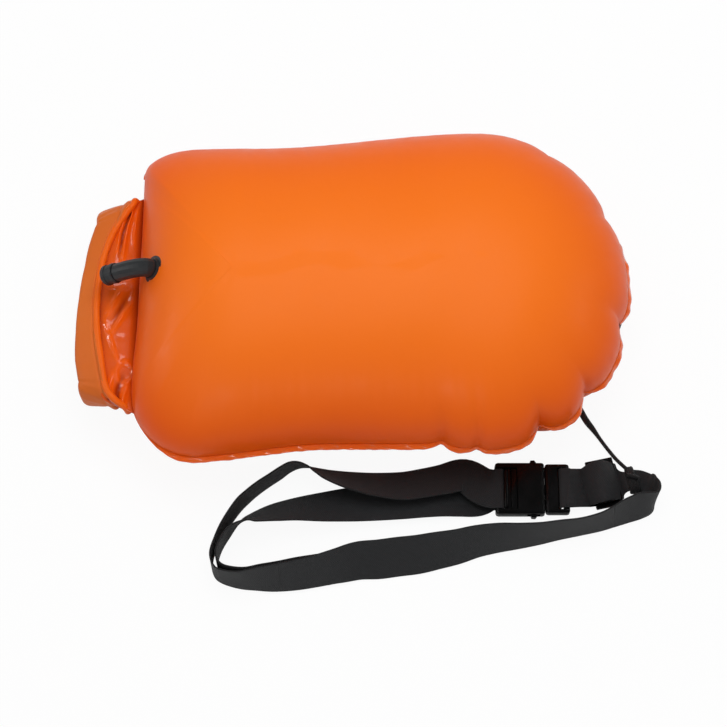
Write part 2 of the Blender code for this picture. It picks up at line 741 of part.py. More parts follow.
def build_hitch():
    """The tether's hitch: three turns of cord drawn tight round the bunched strap."""
    lean = math.radians(10)
    frame = strap_frame()
    wide = frame.to_3x3() @ Vector((0, -math.cos(lean), math.sin(lean)))
    path, outer, inner = [], [], []
    turns, parts = 3, 4
    grow = tether_diameter * 0.95
    for k in range(turns * parts + 1):
        share = k / (turns * parts)
        bulge = grow * (0.62 + 0.38 * abs(math.sin(math.pi * turns * share)))
        path.append(frame @ Vector((hitch_along + (share - 0.5) * knot_length, hitch_across, hitch_z)))
        a, b = hitch_bunch_width / 2 + touching_gap * 3, hitch_bunch_thickness / 2 + touching_gap * 3.5
        outer.append([(x * 0.94, y) for x, y in circle(16, a + bulge, b * 1.25 + bulge)])
        inner.append(box_section(a, b))
    wides = [wide] * len(path)
    pipe("belt_hitch_knot", sweep_rings(path, wides, outer), sweep_rings(path, wides, inner), black_cord)


def box_section(a, b):
    """Sixteen points of a rectangle of half sizes a and b, matched to a circle's."""
    shares = [(1, 0), (1, 0.5), (1, 0.98), (0.5, 1), (0, 1), (-0.5, 1), (-1, 0.98), (-1, 0.5)]
    return [(a * x, b * y) for x, y in shares] + [(-a * x, -b * y) for x, y in shares]


def build_adjuster(low):
    """The three-bar strap adjuster: side bars over the strap, middle bar under its hump."""
    third = glide_length / 3
    half = glide_width / 2
    t = webbing_thickness
    floor_z = low + t / 2 + touching_gap
    frame = strap_frame() @ Matrix.Translation(Vector((glide_along, 0, floor_z)))
    body = block("tri_glide", (-glide_length / 2, -half, 0), (glide_length / 2, half, glide_thickness),
                 black_acetal, glide_thickness * bevel_share, frame)
    strap_half = webbing_width / 2 + touching_gap * 3
    for name, start, end in (("left", -1.10, -0.36), ("right", 0.36, 1.10)):
        tool = block("tri_glide_slot_" + name, (start * third, -strap_half, -t),
                     (end * third, strap_half, glide_thickness + t), black_acetal, 0.0, frame)
        cut(body, tool)


def lathe(name, profile, mat, frame, count=20, ring=False):
    """A body turned round its frame's X from points (along, radius); a ring is a closed profile."""
    rings = []
    for along, radius in profile:
        rings.append([Vector((along, radius * math.cos(2 * math.pi * k / count),
                              radius * math.sin(2 * math.pi * k / count))) for k in range(count)])
    if ring:
        faces = grid_faces(len(rings), count, closed_rows=True)
        thing = add_mesh(name, [p for r in rings for p in r], faces, mat)
    else:
        thing = loft(name, rings, mat)
    thing.matrix_world = frame
    return thing


def build_valve(prefix, chamber, way):
    """An oral inflation valve: welded base, bent rubber tube, twist cap and check plug."""
    seat, normal = surface_point(valve_x, valve_y, way)
    foot = seat - normal * (valve_base_thickness * 0.6)
    frame = frame_at(foot, normal, (0, 1, 0))
    pocket = lathe(prefix + "_seat", [(-touching_gap, valve_base_radius + touching_gap),
                                      (valve_collar_radius, valve_base_radius + touching_gap)],
                   black_acetal, frame, 24)
    cut(chamber, pocket)
    bore = valve_bore_radius
    lathe(prefix + "_base",
          [(0, bore), (0, valve_base_radius), (valve_base_thickness * 0.7, valve_base_radius),
           (valve_base_thickness, valve_base_radius * 0.93), (valve_base_thickness * 1.1, valve_collar_radius),
           (valve_collar_height, valve_collar_radius * 0.92), (valve_collar_height, bore)],
          grey_rubber, frame, 24, ring=True)
    start = foot + normal * (valve_collar_height + touching_gap)
    knee = start + normal * valve_bend
    drop = valve_tube_drop if way > 0 else valve_tube_drop * 0.30
    tip = Vector((start.x - valve_tube_reach, valve_y, start.z - drop))
    lead = (tip - knee).normalized()
    root = tip - lead * valve_spigot_length
    path, outer = [start], [circle(16, valve_tube_radius, valve_tube_radius)]
    start = start + normal * valve_base_thickness
    bends = 8
    for k in range(bends + 1):
        s = k / bends
        path.append(start * (1 - s) ** 2 + knee * 2 * s * (1 - s) + root * s * s)
        outer.append(circle(16, valve_tube_radius, valve_tube_radius))
    step = valve_spigot_radius
    path += [root + lead * touching_gap, tip]
    outer += [circle(16, step, step)] * 2
    inner = [circle(16, bore, bore)] * len(path)
    wides = [Vector((0, 1, 0))] * len(path)
    pipe(prefix + "_tube", sweep_rings(path, wides, outer), sweep_rings(path, wides, inner), grey_rubber)
    cap_frame = frame_at(root + lead * (touching_gap * 2), lead, (0, 1, 0))
    gap = valve_clearance
    fit, lip = valve_spigot_radius + gap, valve_cap_lip
    deep = valve_spigot_length + gap
    long = valve_cap_length + gap * 2
    rim = valve_cap_radius
    lathe(prefix + "_cap",
          [(0, fit), (0, rim * 0.96), (long * 0.10, rim), (long * 0.30, rim), (long * 0.34, rim * 0.93),
           (long * 0.66, rim * 0.93), (long * 0.70, rim), (long * 0.90, rim), (long, rim * 0.90),
           (long, lip), (deep, lip), (deep, fit)],
          grey_rubber, cap_frame, 24, ring=True)
    plug_frame = cap_frame @ Matrix.Translation(Vector((long, 0, 0)))
    stem = valve_stem_radius
    lathe(prefix + "_plug",
          [(-valve_stem_length, stem * 0.8), (-valve_stem_length + stem, stem), (-(long - deep) - gap, stem),
           (-(long - deep) + gap, valve_plug_radius), (gap * 2, valve_plug_radius),
           (gap * 3, valve_plug_radius * 0.8)],
          black_acetal, plug_frame, 16)


def build_roll_buckle(route, lower):
    """The buckle that joins the two bent ends of the roll under the neck, along Y."""
    total = roll_female_length + roll_male_length
    x = (roll_centre(roll_half_span) + roll_centre(-roll_half_span)) / 2
    start = Vector((x, -total / 2, lower - roll_buckle_thickness / 2))
    frame = frame_at(start, (0, 1, 0), (0, 0, 1))
    sizes = side_release_buckle("roll_buckle", frame, roll_female_length, roll_male_length,
                                roll_buckle_width, roll_buckle_thickness, tab_width)
    bar, slot, _, _, male_slot = sizes
    t, w = tab_thickness, tab_width
    mid = lower - roll_buckle_thickness / 2 + roll_buckle_thickness * 0.515
    for name, way, edge, slot_mid in (("roll_tab_near", -1, bar, bar + slot / 2),
                                      ("roll_tab_far", 1, bar * 1.4, bar * 1.4 + male_slot / 2)):
        roll_end, before = (route[-1], route[-2]) if way < 0 else (route[0], route[1])
        onward = (roll_end - before).normalized()
        height = roll_buckle_thickness * (0.78 if way < 0 else 0.92)
        over = lower - roll_buckle_thickness / 2 + height + touching_gap * 2 + t / 2
        end_y = way * total / 2
        path = [roll_end + onward * touching_gap,
                roll_end + onward * (w * 0.15),
                roll_end + onward * (w * 0.4),
                Vector((x, end_y + way * bar * 3, lower + t)),
                Vector((x, end_y + way * bar * 0.6, over)),
                Vector((x, end_y - way * edge * 1.2, over)),
                Vector((x, end_y - way * slot_mid, over - t)),
                Vector((x, end_y - way * slot_mid, mid))]
        path = [Vector(p) for p in smooth_curve([tuple(p) for p in path], 2)]
        strip = [[(-w / 2, -t / 2), (w / 2, -t / 2), (w / 2, t / 2), (-w / 2, t / 2)]] * len(path)
        wides = [Vector((1, 0, 0))] * len(path)
        loft(name, sweep_rings(path, wides, strip), black_webbing)


def tube_curve(name, points, radius, mat, closed=False, resolution=2):
    data = bpy.data.curves.new(name, "CURVE")
    data.dimensions = "3D"
    data.bevel_depth = radius
    data.bevel_resolution = resolution
    data.use_fill_caps = True
    spline = data.splines.new("POLY")
    spline.points.add(len(points) - 1)
    for slot, p in zip(spline.points, points):
        slot.co = (*p, 1.0)
    spline.use_cyclic_u = closed
    data.materials.append(mat)
    thing = bpy.data.objects.new(name, data)
    bpy.context.scene.collection.objects.link(thing)
    return thing


def patch_place():
    """Middle and outward normal of the tether patch, under the nose."""
    turn, share = math.radians(24), 0.90
    rise = math.sqrt(1 - share * share)
    point = Vector((nose_centre + nose_reach * share * math.cos(turn),
                    nose_shift + bag_half_width * share * math.sin(turn),
                    seam_height - film_gap - chamber_rise * rise))
    normal = Vector((share * math.cos(turn) / nose_reach, share * math.sin(turn) / bag_half_width,
                     -rise / chamber_rise)).normalized()
    return point, normal


def build_tether_mount(chamber):
    point, normal = patch_place()
    level = Vector((0, 0, 1)).cross(normal).normalized()
    down = normal.cross(level)
    if down.z > 0:
        down = -down
    turn = Matrix((down, level * (1 if down.cross(level).dot(normal) > 0 else -1), normal)).transposed().to_4x4()
    base = point - normal * (patch_thickness * 1.2)
    frame = Matrix.Translation(base) @ turn
    half_l, half_w, g = patch_length / 2, patch_width / 2, touching_gap
    tool = block("patch_seat", (-half_l - g, -half_w - g, -g), (half_l + g, half_w + g, patch_length),
                 black_acetal, 0.0, frame)
    cut(chamber, tool)
    block("tether_patch", (-half_l, -half_w, 0), (half_l, half_w, patch_thickness), orange_film, 0.0, frame)
    sleeve, bar = tab_sleeve_radius, ring_wire / 2
    away = patch_thickness + g
    centre = Vector((half_l * 0.35, 0, away + sleeve))
    count = 12
    profile = [(centre.x + sleeve * math.cos(math.radians(a)), centre.z + sleeve * math.sin(math.radians(a)))
               for a in range(-90, 91, 20)]
    profile += [(-half_l * 0.75, away + webbing_thickness), (-half_l * 0.75, away)]
    rings = [[Vector((x, y, z)) for x, z in profile]
             for y in (-tab_sleeve_width / 2, tab_sleeve_width / 2)]
    tab = loft("tether_tab", rings, black_webbing)
    tab.matrix_world = frame
    bore_frame = frame @ frame_at(centre - Vector((0, tab_sleeve_width, 0)), (0, 1, 0), (0, 0, 1))
    tool = lathe("tab_bore", [(0, bar + g), (tab_sleeve_width * 2, bar + g)], black_acetal, bore_frame, count)
    cut(tab, tool)
    pivot = frame @ centre
    side = (frame.to_3x3() @ Vector((0, 1, 0))).normalized()
    half = ring_width / 2
    loop = []
    for s in (-0.72, -0.24, 0.24, 0.72):
        loop.append(Vector((s * half, 0)))
    for k in range(0, 13):
        a = math.radians(15 * k)
        loop.append(Vector((half * math.cos(a), -(ring_depth - half * 0.35) * math.sin(a) - half * 0.35)))
    points = [side * p.x + Vector((0, 0, p.y)) for p in loop]
    ring = tube_curve("tether_d_ring", points, bar, bright_steel, closed=True, resolution=1)
    ring.location = pivot
    return pivot, side


def coil_points(centre, entry, count=24):
    """Loops that spiral in and out again in two layers, climbing at the inner turn."""
    points = []
    step = tether_diameter * 1.16
    total = coil_turns * coil_layers
    for k in range(total * count + 1):
        turn = k / count
        layer = min(int(turn / coil_turns), coil_layers - 1)
        inside = turn - layer * coil_turns
        way = inside if layer % 2 == 0 else coil_turns - inside
        radius = coil_radius + step * (coil_turns / 2 - way)
        climb = min(max((turn - coil_turns + 0.25) / 0.5, 0.0), 1.0)
        climb = climb * climb * (3 - 2 * climb)
        height = tether_diameter / 2 + touching_gap + climb * tether_diameter * 1.14
        angle = entry + 2 * math.pi * turn
        points.append(Vector((centre[0] + radius * math.cos(angle), centre[1] + radius * math.sin(angle),
                              height)))
    return points


def coil_gap(points, count=24):
    """The least clear distance between turns of the coil."""
    best = coil_radius
    for i, p in enumerate(points):
        for q in points[i + count // 3:]:
            best = min(best, (p - q).length)
    return best - tether_diameter


# The tether's own route points: ring to coil, and coil to the hitch on the strap
lead_route = [(0.1752, 0.0520, 0.0045), (0.1746, 0.0420, 0.0022), (0.1778, 0.0280, 0.0021)]
cord_route = [(0.1806, -0.0020, 0.0058), (0.1790, -0.0160, 0.0036), (0.1770, -0.0340, 0.0021),
              (0.1766, -0.0560, 0.0021), (0.1800, -0.0760, 0.0021), (0.1865, -0.0915, 0.0021),
              (0.1949, -0.1035, 0.0021), (0.2045, -0.1180, 0.0026), (0.2125, -0.1300, 0.0050),
              (0.2190, -0.1385, 0.0085)]


def build_tether(pivot, side):
    """The eye and knot on the ring, the lead, the coil of spare length, and the cord to the belt."""
    radius = tether_diameter / 2
    inward = Vector((side.y, -side.x, 0)).normalized()
    if inward.x > 0:
        inward.negate()
    middle = Vector((pivot.x, pivot.y, eye_height))
    eye = []
    for k in range(eye_points + 1):
        turn = math.radians(eye_open + (360 - 2 * eye_open) * k / eye_points)
        eye.append(middle + inward * (eye_reach * math.cos(turn)) + Vector((0, 0, eye_rise * math.sin(turn))))
    run = inward * tether_diameter * 0.6
    eye = [eye[0] + run] + eye + [eye[-1] + run]
    tube_curve("tether_ring_eye", eye, radius, black_cord)
    knot_start = eye[0].dot(inward) + touching_gap - middle.dot(inward)
    frame = frame_at(middle + inward * knot_start, inward, (0, 0, 1))
    body = knot_radius
    lathe("tether_ring_knot", [(0, body * 0.95), (body * 0.3, body * 1.08), (body * 0.6, body * 0.92),
                               (body * 0.9, body * 1.05), (body * 1.2, body * 0.85), (body * 1.5, body * 0.94),
                               (body * 1.8, body * 0.6)], black_cord, frame, 14)
    leave = middle + inward * (knot_start + body * 1.8 + touching_gap * 2)
    loops = coil_points((coil_x, coil_y), math.pi)
    run = Vector((0, -tether_diameter, 0))
    loops = [loops[0] - run] + loops + [loops[-1] + run]
    tube_curve("tether_coil", loops, radius, black_cord, resolution=1)
    print("tether coil: least gap to itself %.2f mm" % (1000 * coil_gap(loops[1:-1])))
    gap = Vector((0, touching_gap, 0))
    lead = [leave, leave + inward * tether_diameter] + [Vector(p) for p in lead_route]
    lead += [loops[0] + gap - run * 1.5, loops[0] + gap]
    lead = [Vector(p) for p in smooth_curve([tuple(p) for p in lead], 2)]
    tube_curve("tether_lead", lead, radius, black_cord)
    cord = [loops[-1] - gap, loops[-1] - gap + run] + [Vector(p) for p in cord_route]
    cord = [Vector(p) for p in smooth_curve([tuple(p) for p in cord], 2)]
    tube_curve("tether_cord", cord, radius, black_cord)
    pieces = (lead, loops, cord)
    length = sum((b - a).length for line in pieces for a, b in zip(line, line[1:]))
    print("tether length %.3f m" % length)


front_chamber, back_chamber = build_chambers()
build_film_layers()
build_flange()
build_neck()
roll_path = build_roll()
build_roll_buckle(roll_path, roll_height - roll_hang)
build_valve("front_valve", front_chamber, 1)
build_valve("back_valve", back_chamber, -1)
build_waist_belt()
ring_pivot, ring_side = build_tether_mount(back_chamber)
build_tether(ring_pivot, ring_side)
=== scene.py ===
# %% [markdown]
# # An inflatable swim buoy, dressed
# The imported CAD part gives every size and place. This lesson lays real surfaces over it: welded film
# that is blown tight, woven belt webbing, braided cord, moulded buckles and rubber valves. Each shape is
# a formula on a grid of points, worked out with numpy and handed to Blender as one mesh.

# %% Start: tools and the fixed frame
import math

import bmesh
import bpy
import numpy as np
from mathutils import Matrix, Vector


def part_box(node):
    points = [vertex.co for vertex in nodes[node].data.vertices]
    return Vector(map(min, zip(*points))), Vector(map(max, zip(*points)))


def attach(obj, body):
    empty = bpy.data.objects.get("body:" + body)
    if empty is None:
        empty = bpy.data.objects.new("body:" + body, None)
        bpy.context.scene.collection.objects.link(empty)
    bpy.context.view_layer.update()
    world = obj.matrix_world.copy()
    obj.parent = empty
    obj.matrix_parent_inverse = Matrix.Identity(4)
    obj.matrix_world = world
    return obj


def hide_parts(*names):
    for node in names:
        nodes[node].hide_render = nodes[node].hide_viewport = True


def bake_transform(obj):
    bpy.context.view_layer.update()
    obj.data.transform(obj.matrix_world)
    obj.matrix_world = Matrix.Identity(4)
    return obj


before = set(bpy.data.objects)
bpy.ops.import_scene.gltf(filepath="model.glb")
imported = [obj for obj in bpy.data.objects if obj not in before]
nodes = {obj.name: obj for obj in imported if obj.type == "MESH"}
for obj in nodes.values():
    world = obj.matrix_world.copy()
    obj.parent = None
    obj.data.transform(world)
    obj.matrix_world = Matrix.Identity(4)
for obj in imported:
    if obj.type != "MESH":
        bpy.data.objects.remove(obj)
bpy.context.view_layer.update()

# %% [markdown]
# ## Camera
# The picture looks down on the buoy from a steep angle with a long lens, so the belt at the front is
# only a little larger than the bag. A wide lens nearer by would also frame it, but would spread the belt.
# An angle of 70 degrees above the floor is a camera pitch of 20.


# %% Camera
def new_object(name, data):
    """An object in the scene for a camera, a mesh or a lamp."""
    thing = bpy.data.objects.new(name, data)
    bpy.context.scene.collection.objects.link(thing)
    return thing


view = bpy.data.cameras.new("studio_camera")
view.lens, view.sensor_width = 106.95, 36.0
camera = new_object("studio_camera", view)
camera.location = (-0.0222, -0.7376, 1.9319)
camera.rotation_euler = (math.radians(20), 0, 0)
bpy.context.scene.camera = camera
print("camera lens", view.lens, "mm, pitch", round(math.degrees(camera.rotation_euler.x)), "degrees")

# %% [markdown]
# ## From grids to meshes
# A sheet is a grid of points; a tube is a grid whose last column meets its first. The four corners of
# each cell make a face, and each corner keeps its own place on a flat map in metres, so that a weave
# follows the strap whichever way it bends.


# %% Grid meshes
CORD_ROUND = 0.011


def grid_mesh(name, points, uv=None, around=False, capped=False, flip=False):
    """A mesh from points[i, j]: cell (i, j) has corners (i, j), (i+1, j), (i+1, j+1), (i, j+1).
    around joins the last column to the first, and capped closes both end rings with one flat face each."""
    rows, columns = points.shape[:2]
    last = columns if around else columns - 1
    i, j = np.meshgrid(np.arange(rows - 1), np.arange(last), indexing="ij")
    near, far = j, (j + 1) % columns
    quads = np.stack([i * columns + near, (i + 1) * columns + near,
                      (i + 1) * columns + far, i * columns + far], -1).reshape(-1, 4)
    if flip:
        quads = quads[:, ::-1]
    faces = quads.tolist()
    if capped:
        ends = [np.arange(columns), np.arange(columns)[::-1] + (rows - 1) * columns]
        faces += [(e[::-1] if flip else e).tolist() for e in ends]
    mesh = bpy.data.meshes.new(name)
    mesh.from_pydata(points.reshape(-1, 3).tolist(), [], faces)
    if uv is not None:
        corner_j = np.stack([j, j, j + 1, j + 1], -1).reshape(-1, 4)
        corner_i = np.stack([i, i + 1, i + 1, i], -1).reshape(-1, 4)
        if flip:
            corner_i, corner_j = corner_i[:, ::-1], corner_j[:, ::-1]
        flat = np.zeros((len(mesh.loops), 2), np.float32)
        flat[:quads.size] = uv[corner_i, corner_j].reshape(-1, 2)
        mesh.uv_layers.new(name="flat_map").data.foreach_set("uv", flat.ravel())
    mesh.polygons.foreach_set("use_smooth", np.arange(len(faces)) < len(quads))
    return new_object(name, mesh)


# %% [markdown]
# Each visible piece is given the body it moves with and what it is made of, and the CAD nodes it stands for
# are hidden.
# That could be set by hand on every object, but one helper makes sure that none of it is forgotten.


# %% Finishing a piece
def finish_piece(thing, material, body, replaces):
    """Gives a piece its material and body, hides the CAD nodes that it stands for, and prints its size. A
    piece without a body is left unattached."""
    thing.data.materials.append(material)
    if body:
        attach(thing, body)
    if replaces:
        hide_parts(*replaces)
    print(thing.name, len(thing.data.vertices), "points, in", material.name)


# %% [markdown]
# ### Paths, sections and tubes
# Cords, straps and the roll are all a flat section carried along a line. Blender's curves can do that too,
# but they twist where a line climbs, and here the section may also change its size and lean on the way.


# %% Paths and tubes
def unit(v):
    """Vectors scaled to length 1 along the last axis."""
    return v / np.maximum(np.linalg.norm(v, axis=-1, keepdims=True), 1e-12)


def spline(rows, steps):
    """A Catmull-Rom curve through rows: each stretch is a cubic whose slope at a row is half the step
    from the row before to the row after."""
    p = np.asarray(rows, float)
    a, b, c, d = np.vstack([p[:1], p[:-2]]), p[:-1], p[1:], np.vstack([p[2:], p[-1:]])
    t = (np.arange(steps) / steps)[None, :, None]
    a, b, c, d = (q[:, None, :] for q in (a, b, c, d))
    curve = 0.5 * (2 * b + (c - a) * t + (2 * a - 5 * b + 4 * c - d) * t ** 2
                   + (3 * b - a - 3 * c + d) * t ** 3)
    return np.vstack([curve.reshape(-1, p.shape[1]), p[-1:]])


def lengths(path):
    """Distance along a path at each of its points."""
    return np.concatenate([[0], np.cumsum(np.linalg.norm(np.diff(path, axis=0), axis=1))])


def tangents(path):
    """Unit direction of a path at each point, from the neighbours on both sides."""
    return unit(np.gradient(path, axis=0))


def carried_frames(path, start):
    """Two unit vectors square to the path that turn with it as little as they can: at each point the
    last pair is laid flat against the new direction."""
    ahead = tangents(path)
    side = np.zeros_like(path)
    last = np.asarray(start, float)
    for k, a in enumerate(ahead):
        last = last - a * last.dot(a)
        last = last / np.linalg.norm(last)
        side[k] = last
    return side, np.cross(ahead, side)


def swept(path, wide, thick, a, b):
    """A section carried along a path: point(i, j) = path[i] + wide[i] * a[i, j] + thick[i] * b[i, j]."""
    return (path[:, None] + wide[:, None] * np.atleast_2d(a)[..., None]
            + thick[:, None] * np.atleast_2d(b)[..., None])


def flat_map(path, across):
    """The flat map of a swept shape: distance along the path, and place across it. Its last column is the
    first again, where the shape closes."""
    across = np.atleast_2d(across)
    across = np.concatenate([across, across[:, :1]], 1)
    return np.stack(np.broadcast_arrays(lengths(path)[:, None], across), -1)


def tube(name, path, radius, around=12, start=(0, 0, 1)):
    """A round tube: the section is radius[i] * (cos, sin) of j's share of a turn. Its flat map holds the
    distance along the path and round the tube."""
    radius = np.broadcast_to(np.asarray(radius, float), len(path))[:, None]
    turn = 2 * np.pi * np.arange(around) / around
    points = swept(path, *carried_frames(path, start), radius * np.cos(turn), radius * np.sin(turn))
    round_it = np.arange(around + 1)[None, :] / around * CORD_ROUND
    uv = np.stack(np.broadcast_arrays(lengths(path)[:, None], round_it), -1)
    return grid_mesh(name, points, uv, around=True, capped=True)


# %% [markdown]
# ## Materials: one helper, then one finish at a time
# A hex colour is what an eye or a screen sees. Blender works with light, so each colour goes through
# one function that undoes the screen's curve.


# %% Colour and the node helper
def light_of(hex_colour):
    """A screen colour as linear light: below 0.04045 it is divided by 12.92, above it a power of 2.4."""
    c = np.array([int(hex_colour[k:k + 2], 16) for k in (1, 3, 5)]) / 255
    return (*np.where(c <= 0.04045, c / 12.92, ((c + 0.055) / 1.055) ** 2.4).tolist(), 1.0)


def add_node(material, kind, links=None, **settings):
    """One shader node: settings are its own options, or Input_name values; links maps an input's name
    or number to the output that feeds it."""
    made = material.node_tree.nodes.new("ShaderNode" + kind)
    for key, value in settings.items():
        if hasattr(made, key):
            setattr(made, key, value)
        else:
            made.inputs[key.replace("_", " ")].default_value = value
    for key, output in (links or {}).items():
        material.node_tree.links.new(output, made.inputs[key])
    return made


def new_material(name, **settings):
    """A material with one Principled shader, whose constant values are set on its own sockets."""
    material = bpy.data.materials.new(name)
    material.use_nodes = True
    shader = material.node_tree.nodes["Principled BSDF"]
    for key, value in settings.items():
        shader.inputs[key.replace("_", " ")].default_value = value
    print("material", name)
    return material, shader


def feed(material, shader, **outputs):
    """Links outputs to the shader's inputs by name."""
    for key, output in outputs.items():
        material.node_tree.links.new(output, shader.inputs[key.replace("_", " ")])


def arithmetic(material, operation, *values):
    """One Math node. Each value is an output that feeds it or a plain number."""
    made = add_node(material, "Math", operation=operation)
    for socket, value in zip(made.inputs, values):
        if isinstance(value, (int, float)):
            socket.default_value = value
        else:
            material.node_tree.links.new(value, socket)
    return made.outputs[0]


def mixed(material, share, first, second):
    """Mixes towards a second hex colour by a share. The first is a hex colour or another output."""
    mix = add_node(material, "Mix", {0: share}, data_type="RGBA")
    if isinstance(first, str):
        mix.inputs[6].default_value = light_of(first)
    else:
        material.node_tree.links.new(first, mix.inputs[6])
    mix.inputs[7].default_value = light_of(second)
    return mix.outputs[2]


def ramp(material, value, low, high, low_colour, high_colour):
    """Mixes two colours as a value goes from low to high."""
    share = add_node(material, "MapRange", {0: value}, From_Min=low, From_Max=high)
    return mixed(material, share.outputs[0], low_colour, high_colour)


# %% [markdown]
# ### Coated film
# The bag is thermoplastic film on a fine knitted backing, welded at its edges. It is satin: broad soft
# highlights, a pale sheen where it is seen edge-on, and a fine pebble about 0.5 mm across.


# %% Coated film
PEBBLE = 0.0011
LIT_TOP_FROM, LIT_TOP_TO = 0.092, 0.158


def film_material(name, colour, shade, roughness, pebble, crown=None, gloss_level=0.22, coat=0.0,
                  shade_in_folds=None):
    """Satin film: a slow drift between two oranges, a fine pebble in the bump, and gloss that wanders. With a
    crown colour, painted light makes it a little yellower towards the top, where the bag is lit. gloss_level
    is the strength of its own reflection and coat that of a clear skin over it, and the last colour is
    painted shade down in the folds."""
    material, shader = new_material(name, IOR=1.42, Sheen_Weight=0.02, Sheen_Roughness=0.30,
                                    Sheen_Tint=(1, 0.93, 0.9, 1), Specular_IOR_Level=gloss_level,
                                    Coat_Weight=coat, Coat_Roughness=0.05)
    place = add_node(material, "TexCoord").outputs["Object"]
    drift = add_node(material, "TexNoise", {"Vector": place}, Scale=9.0, Detail=2.0)
    grain = add_node(material, "TexNoise", {"Vector": place}, Scale=1 / PEBBLE, Detail=2.0)
    creases = add_node(material, "TexNoise", {"Vector": place}, Scale=55.0, Detail=3.0, Distortion=0.6)
    tint = ramp(material, drift.outputs[0], 0.3, 0.7, shade, colour)
    # Painted light: towards the top the film is mixed to the crown colour, a yellower orange where the bag is
    # lit.
    if crown:
        height = add_node(material, "SeparateXYZ", {0: place}).outputs[2]
        stretch = add_node(material, "MapRange", {0: height}, From_Min=LIT_TOP_FROM, From_Max=LIT_TOP_TO)
        tint = mixed(material, stretch.outputs[0], tint, crown)
    # Painted shade: the film is mixed towards a dark red by the neck's fold attribute, in its folds and
    # beside the rim.
    if shade_in_folds:
        fold = add_node(material, "Attribute", attribute_name="fold_depth").outputs["Fac"]
        tint = mixed(material, fold, tint, shade_in_folds)
    feed(material, shader, Base_Color=tint)
    gloss = add_node(material, "MapRange", {0: creases.outputs[0]}, From_Min=0.3, From_Max=0.7,
                     To_Min=roughness - 0.05, To_Max=roughness + 0.05)
    soft = add_node(material, "Bump", {"Height": creases.outputs[0]}, Strength=0.10, Distance=0.002)
    fine = add_node(material, "Bump", {"Height": grain.outputs[0], "Normal": soft.outputs[0]},
                    Strength=pebble, Distance=0.0002)
    feed(material, shader, Roughness=gloss.outputs[0], Normal=fine.outputs[0])
    return material


# The last colour, a yellower orange, is painted light on the lit top of the bag.
satin_film = film_material("satin_coated_film", "#EE5A06", "#EA5504", 0.36, 0.22, "#F5761A")
# Its last colour, a dark red, is painted shade in the neck's folds.
gloss_film = film_material("glossy_neck_film", "#F2640F", "#EA590A", 0.15, 0.08, gloss_level=0.5, coat=0.8,
                           shade_in_folds="#8A1C02")
band_film = film_material("rolled_band_film", "#DA6D27", "#D06220", 0.42, 0.28)
rim_film = film_material("rolled_rim_film", "#F06A14", "#E8600E", 0.34, 0.18)
weld_film = film_material("pressed_weld_film", "#F2620C", "#EA580A", 0.18, 0.10, gloss_level=0.4, coat=1.0)
liner = film_material("translucent_liner_film", "#C9C6BF", "#BDB9B2", 0.45, 0.2)

# %% [markdown]
# ### Belt webbing
# 38 mm polyester webbing is woven flat: yarns about 1 mm wide run along it and dive under the cross
# yarns, two up and two down, which draws small slanting steps. Both come from the flat map in metres.


# %% Webbing
FUZZ = 0.004


def webbing_material(name, yarn, gap_colour, pitch=0.0012):
    """Herringbone webbing: u runs along the strap and v across it, both in metres. Yarn rows are a sine
    across v, and the steps a sine along u that is shifted from row to row."""
    material, shader = new_material(name, IOR=1.38, Roughness=0.66, Sheen_Weight=0.06, Sheen_Roughness=0.5)
    flat = add_node(material, "UVMap", uv_map="flat_map")
    parts = add_node(material, "SeparateXYZ", {0: flat.outputs[0]})
    along, across = parts.outputs[0], parts.outputs[1]
    rows = arithmetic(material, "SINE", arithmetic(material, "MULTIPLY", across, 2 * math.pi / pitch))
    lean = arithmetic(material, "ADD", along, arithmetic(material, "PINGPONG", across, pitch * 4))
    steps = arithmetic(material, "SINE", arithmetic(material, "MULTIPLY", lean, 2 * math.pi / (pitch * 1.6)))
    fuzz = add_node(material, "TexNoise", {"Vector": flat.outputs[0]}, Scale=1 / FUZZ, Detail=4.0)
    height = arithmetic(material, "ADD", arithmetic(material, "ADD", rows, steps), fuzz.outputs[0])
    feed(material, shader, Base_Color=ramp(material, height, -1.2, 1.8, gap_colour, yarn))
    bump = add_node(material, "Bump", {"Height": height}, Strength=0.45, Distance=0.00022)
    feed(material, shader, Normal=bump.outputs[0])
    return material


webbing = webbing_material("woven_polyester_webbing", "#2F3032", "#121314")
edge_webbing = webbing_material("woven_loop_webbing", "#2E2E2E", "#121212", 0.0010)

# %% [markdown]
# ### Braided cord
# The tether is a sleeve braided over a soft core. Strands about 0.9 mm wide cross in two slanting
# families, so the surface is a lattice of small lozenges.


# %% Braided cord
STRANDS, STRAND_PITCH = 6, 0.0024


def cord_material(name, light, dark):
    """A braid: two sines at opposite slants on the tube's flat map; the larger of them is on top."""
    material, shader = new_material(name, IOR=1.42, Roughness=0.50, Sheen_Weight=0.05, Sheen_Roughness=0.5)
    flat = add_node(material, "UVMap", uv_map="flat_map")
    parts = add_node(material, "SeparateXYZ", {0: flat.outputs[0]})
    waves = []
    for slant in (1.0, -1.0):
        side = arithmetic(material, "MULTIPLY", parts.outputs[1], slant * 2 * math.pi * STRANDS / CORD_ROUND)
        run = arithmetic(material, "MULTIPLY_ADD", parts.outputs[0], 2 * math.pi / STRAND_PITCH, side)
        waves.append(arithmetic(material, "SINE", run))
    top = arithmetic(material, "MAXIMUM", *waves)
    feed(material, shader, Base_Color=ramp(material, top, -0.3, 1.0, dark, light))
    bump = add_node(material, "Bump", {"Height": top}, Strength=0.6, Distance=0.0003)
    feed(material, shader, Normal=bump.outputs[0])
    return material


braid = cord_material("braided_polyester_cord", "#222223", "#0A0A0A")

# %% [markdown]
# ### Moulded plastic, rubber and steel
# The buckles are black acetal straight from a polished mould, the valves grey rubber with a dry
# matt skin, and the ring polished stainless wire.


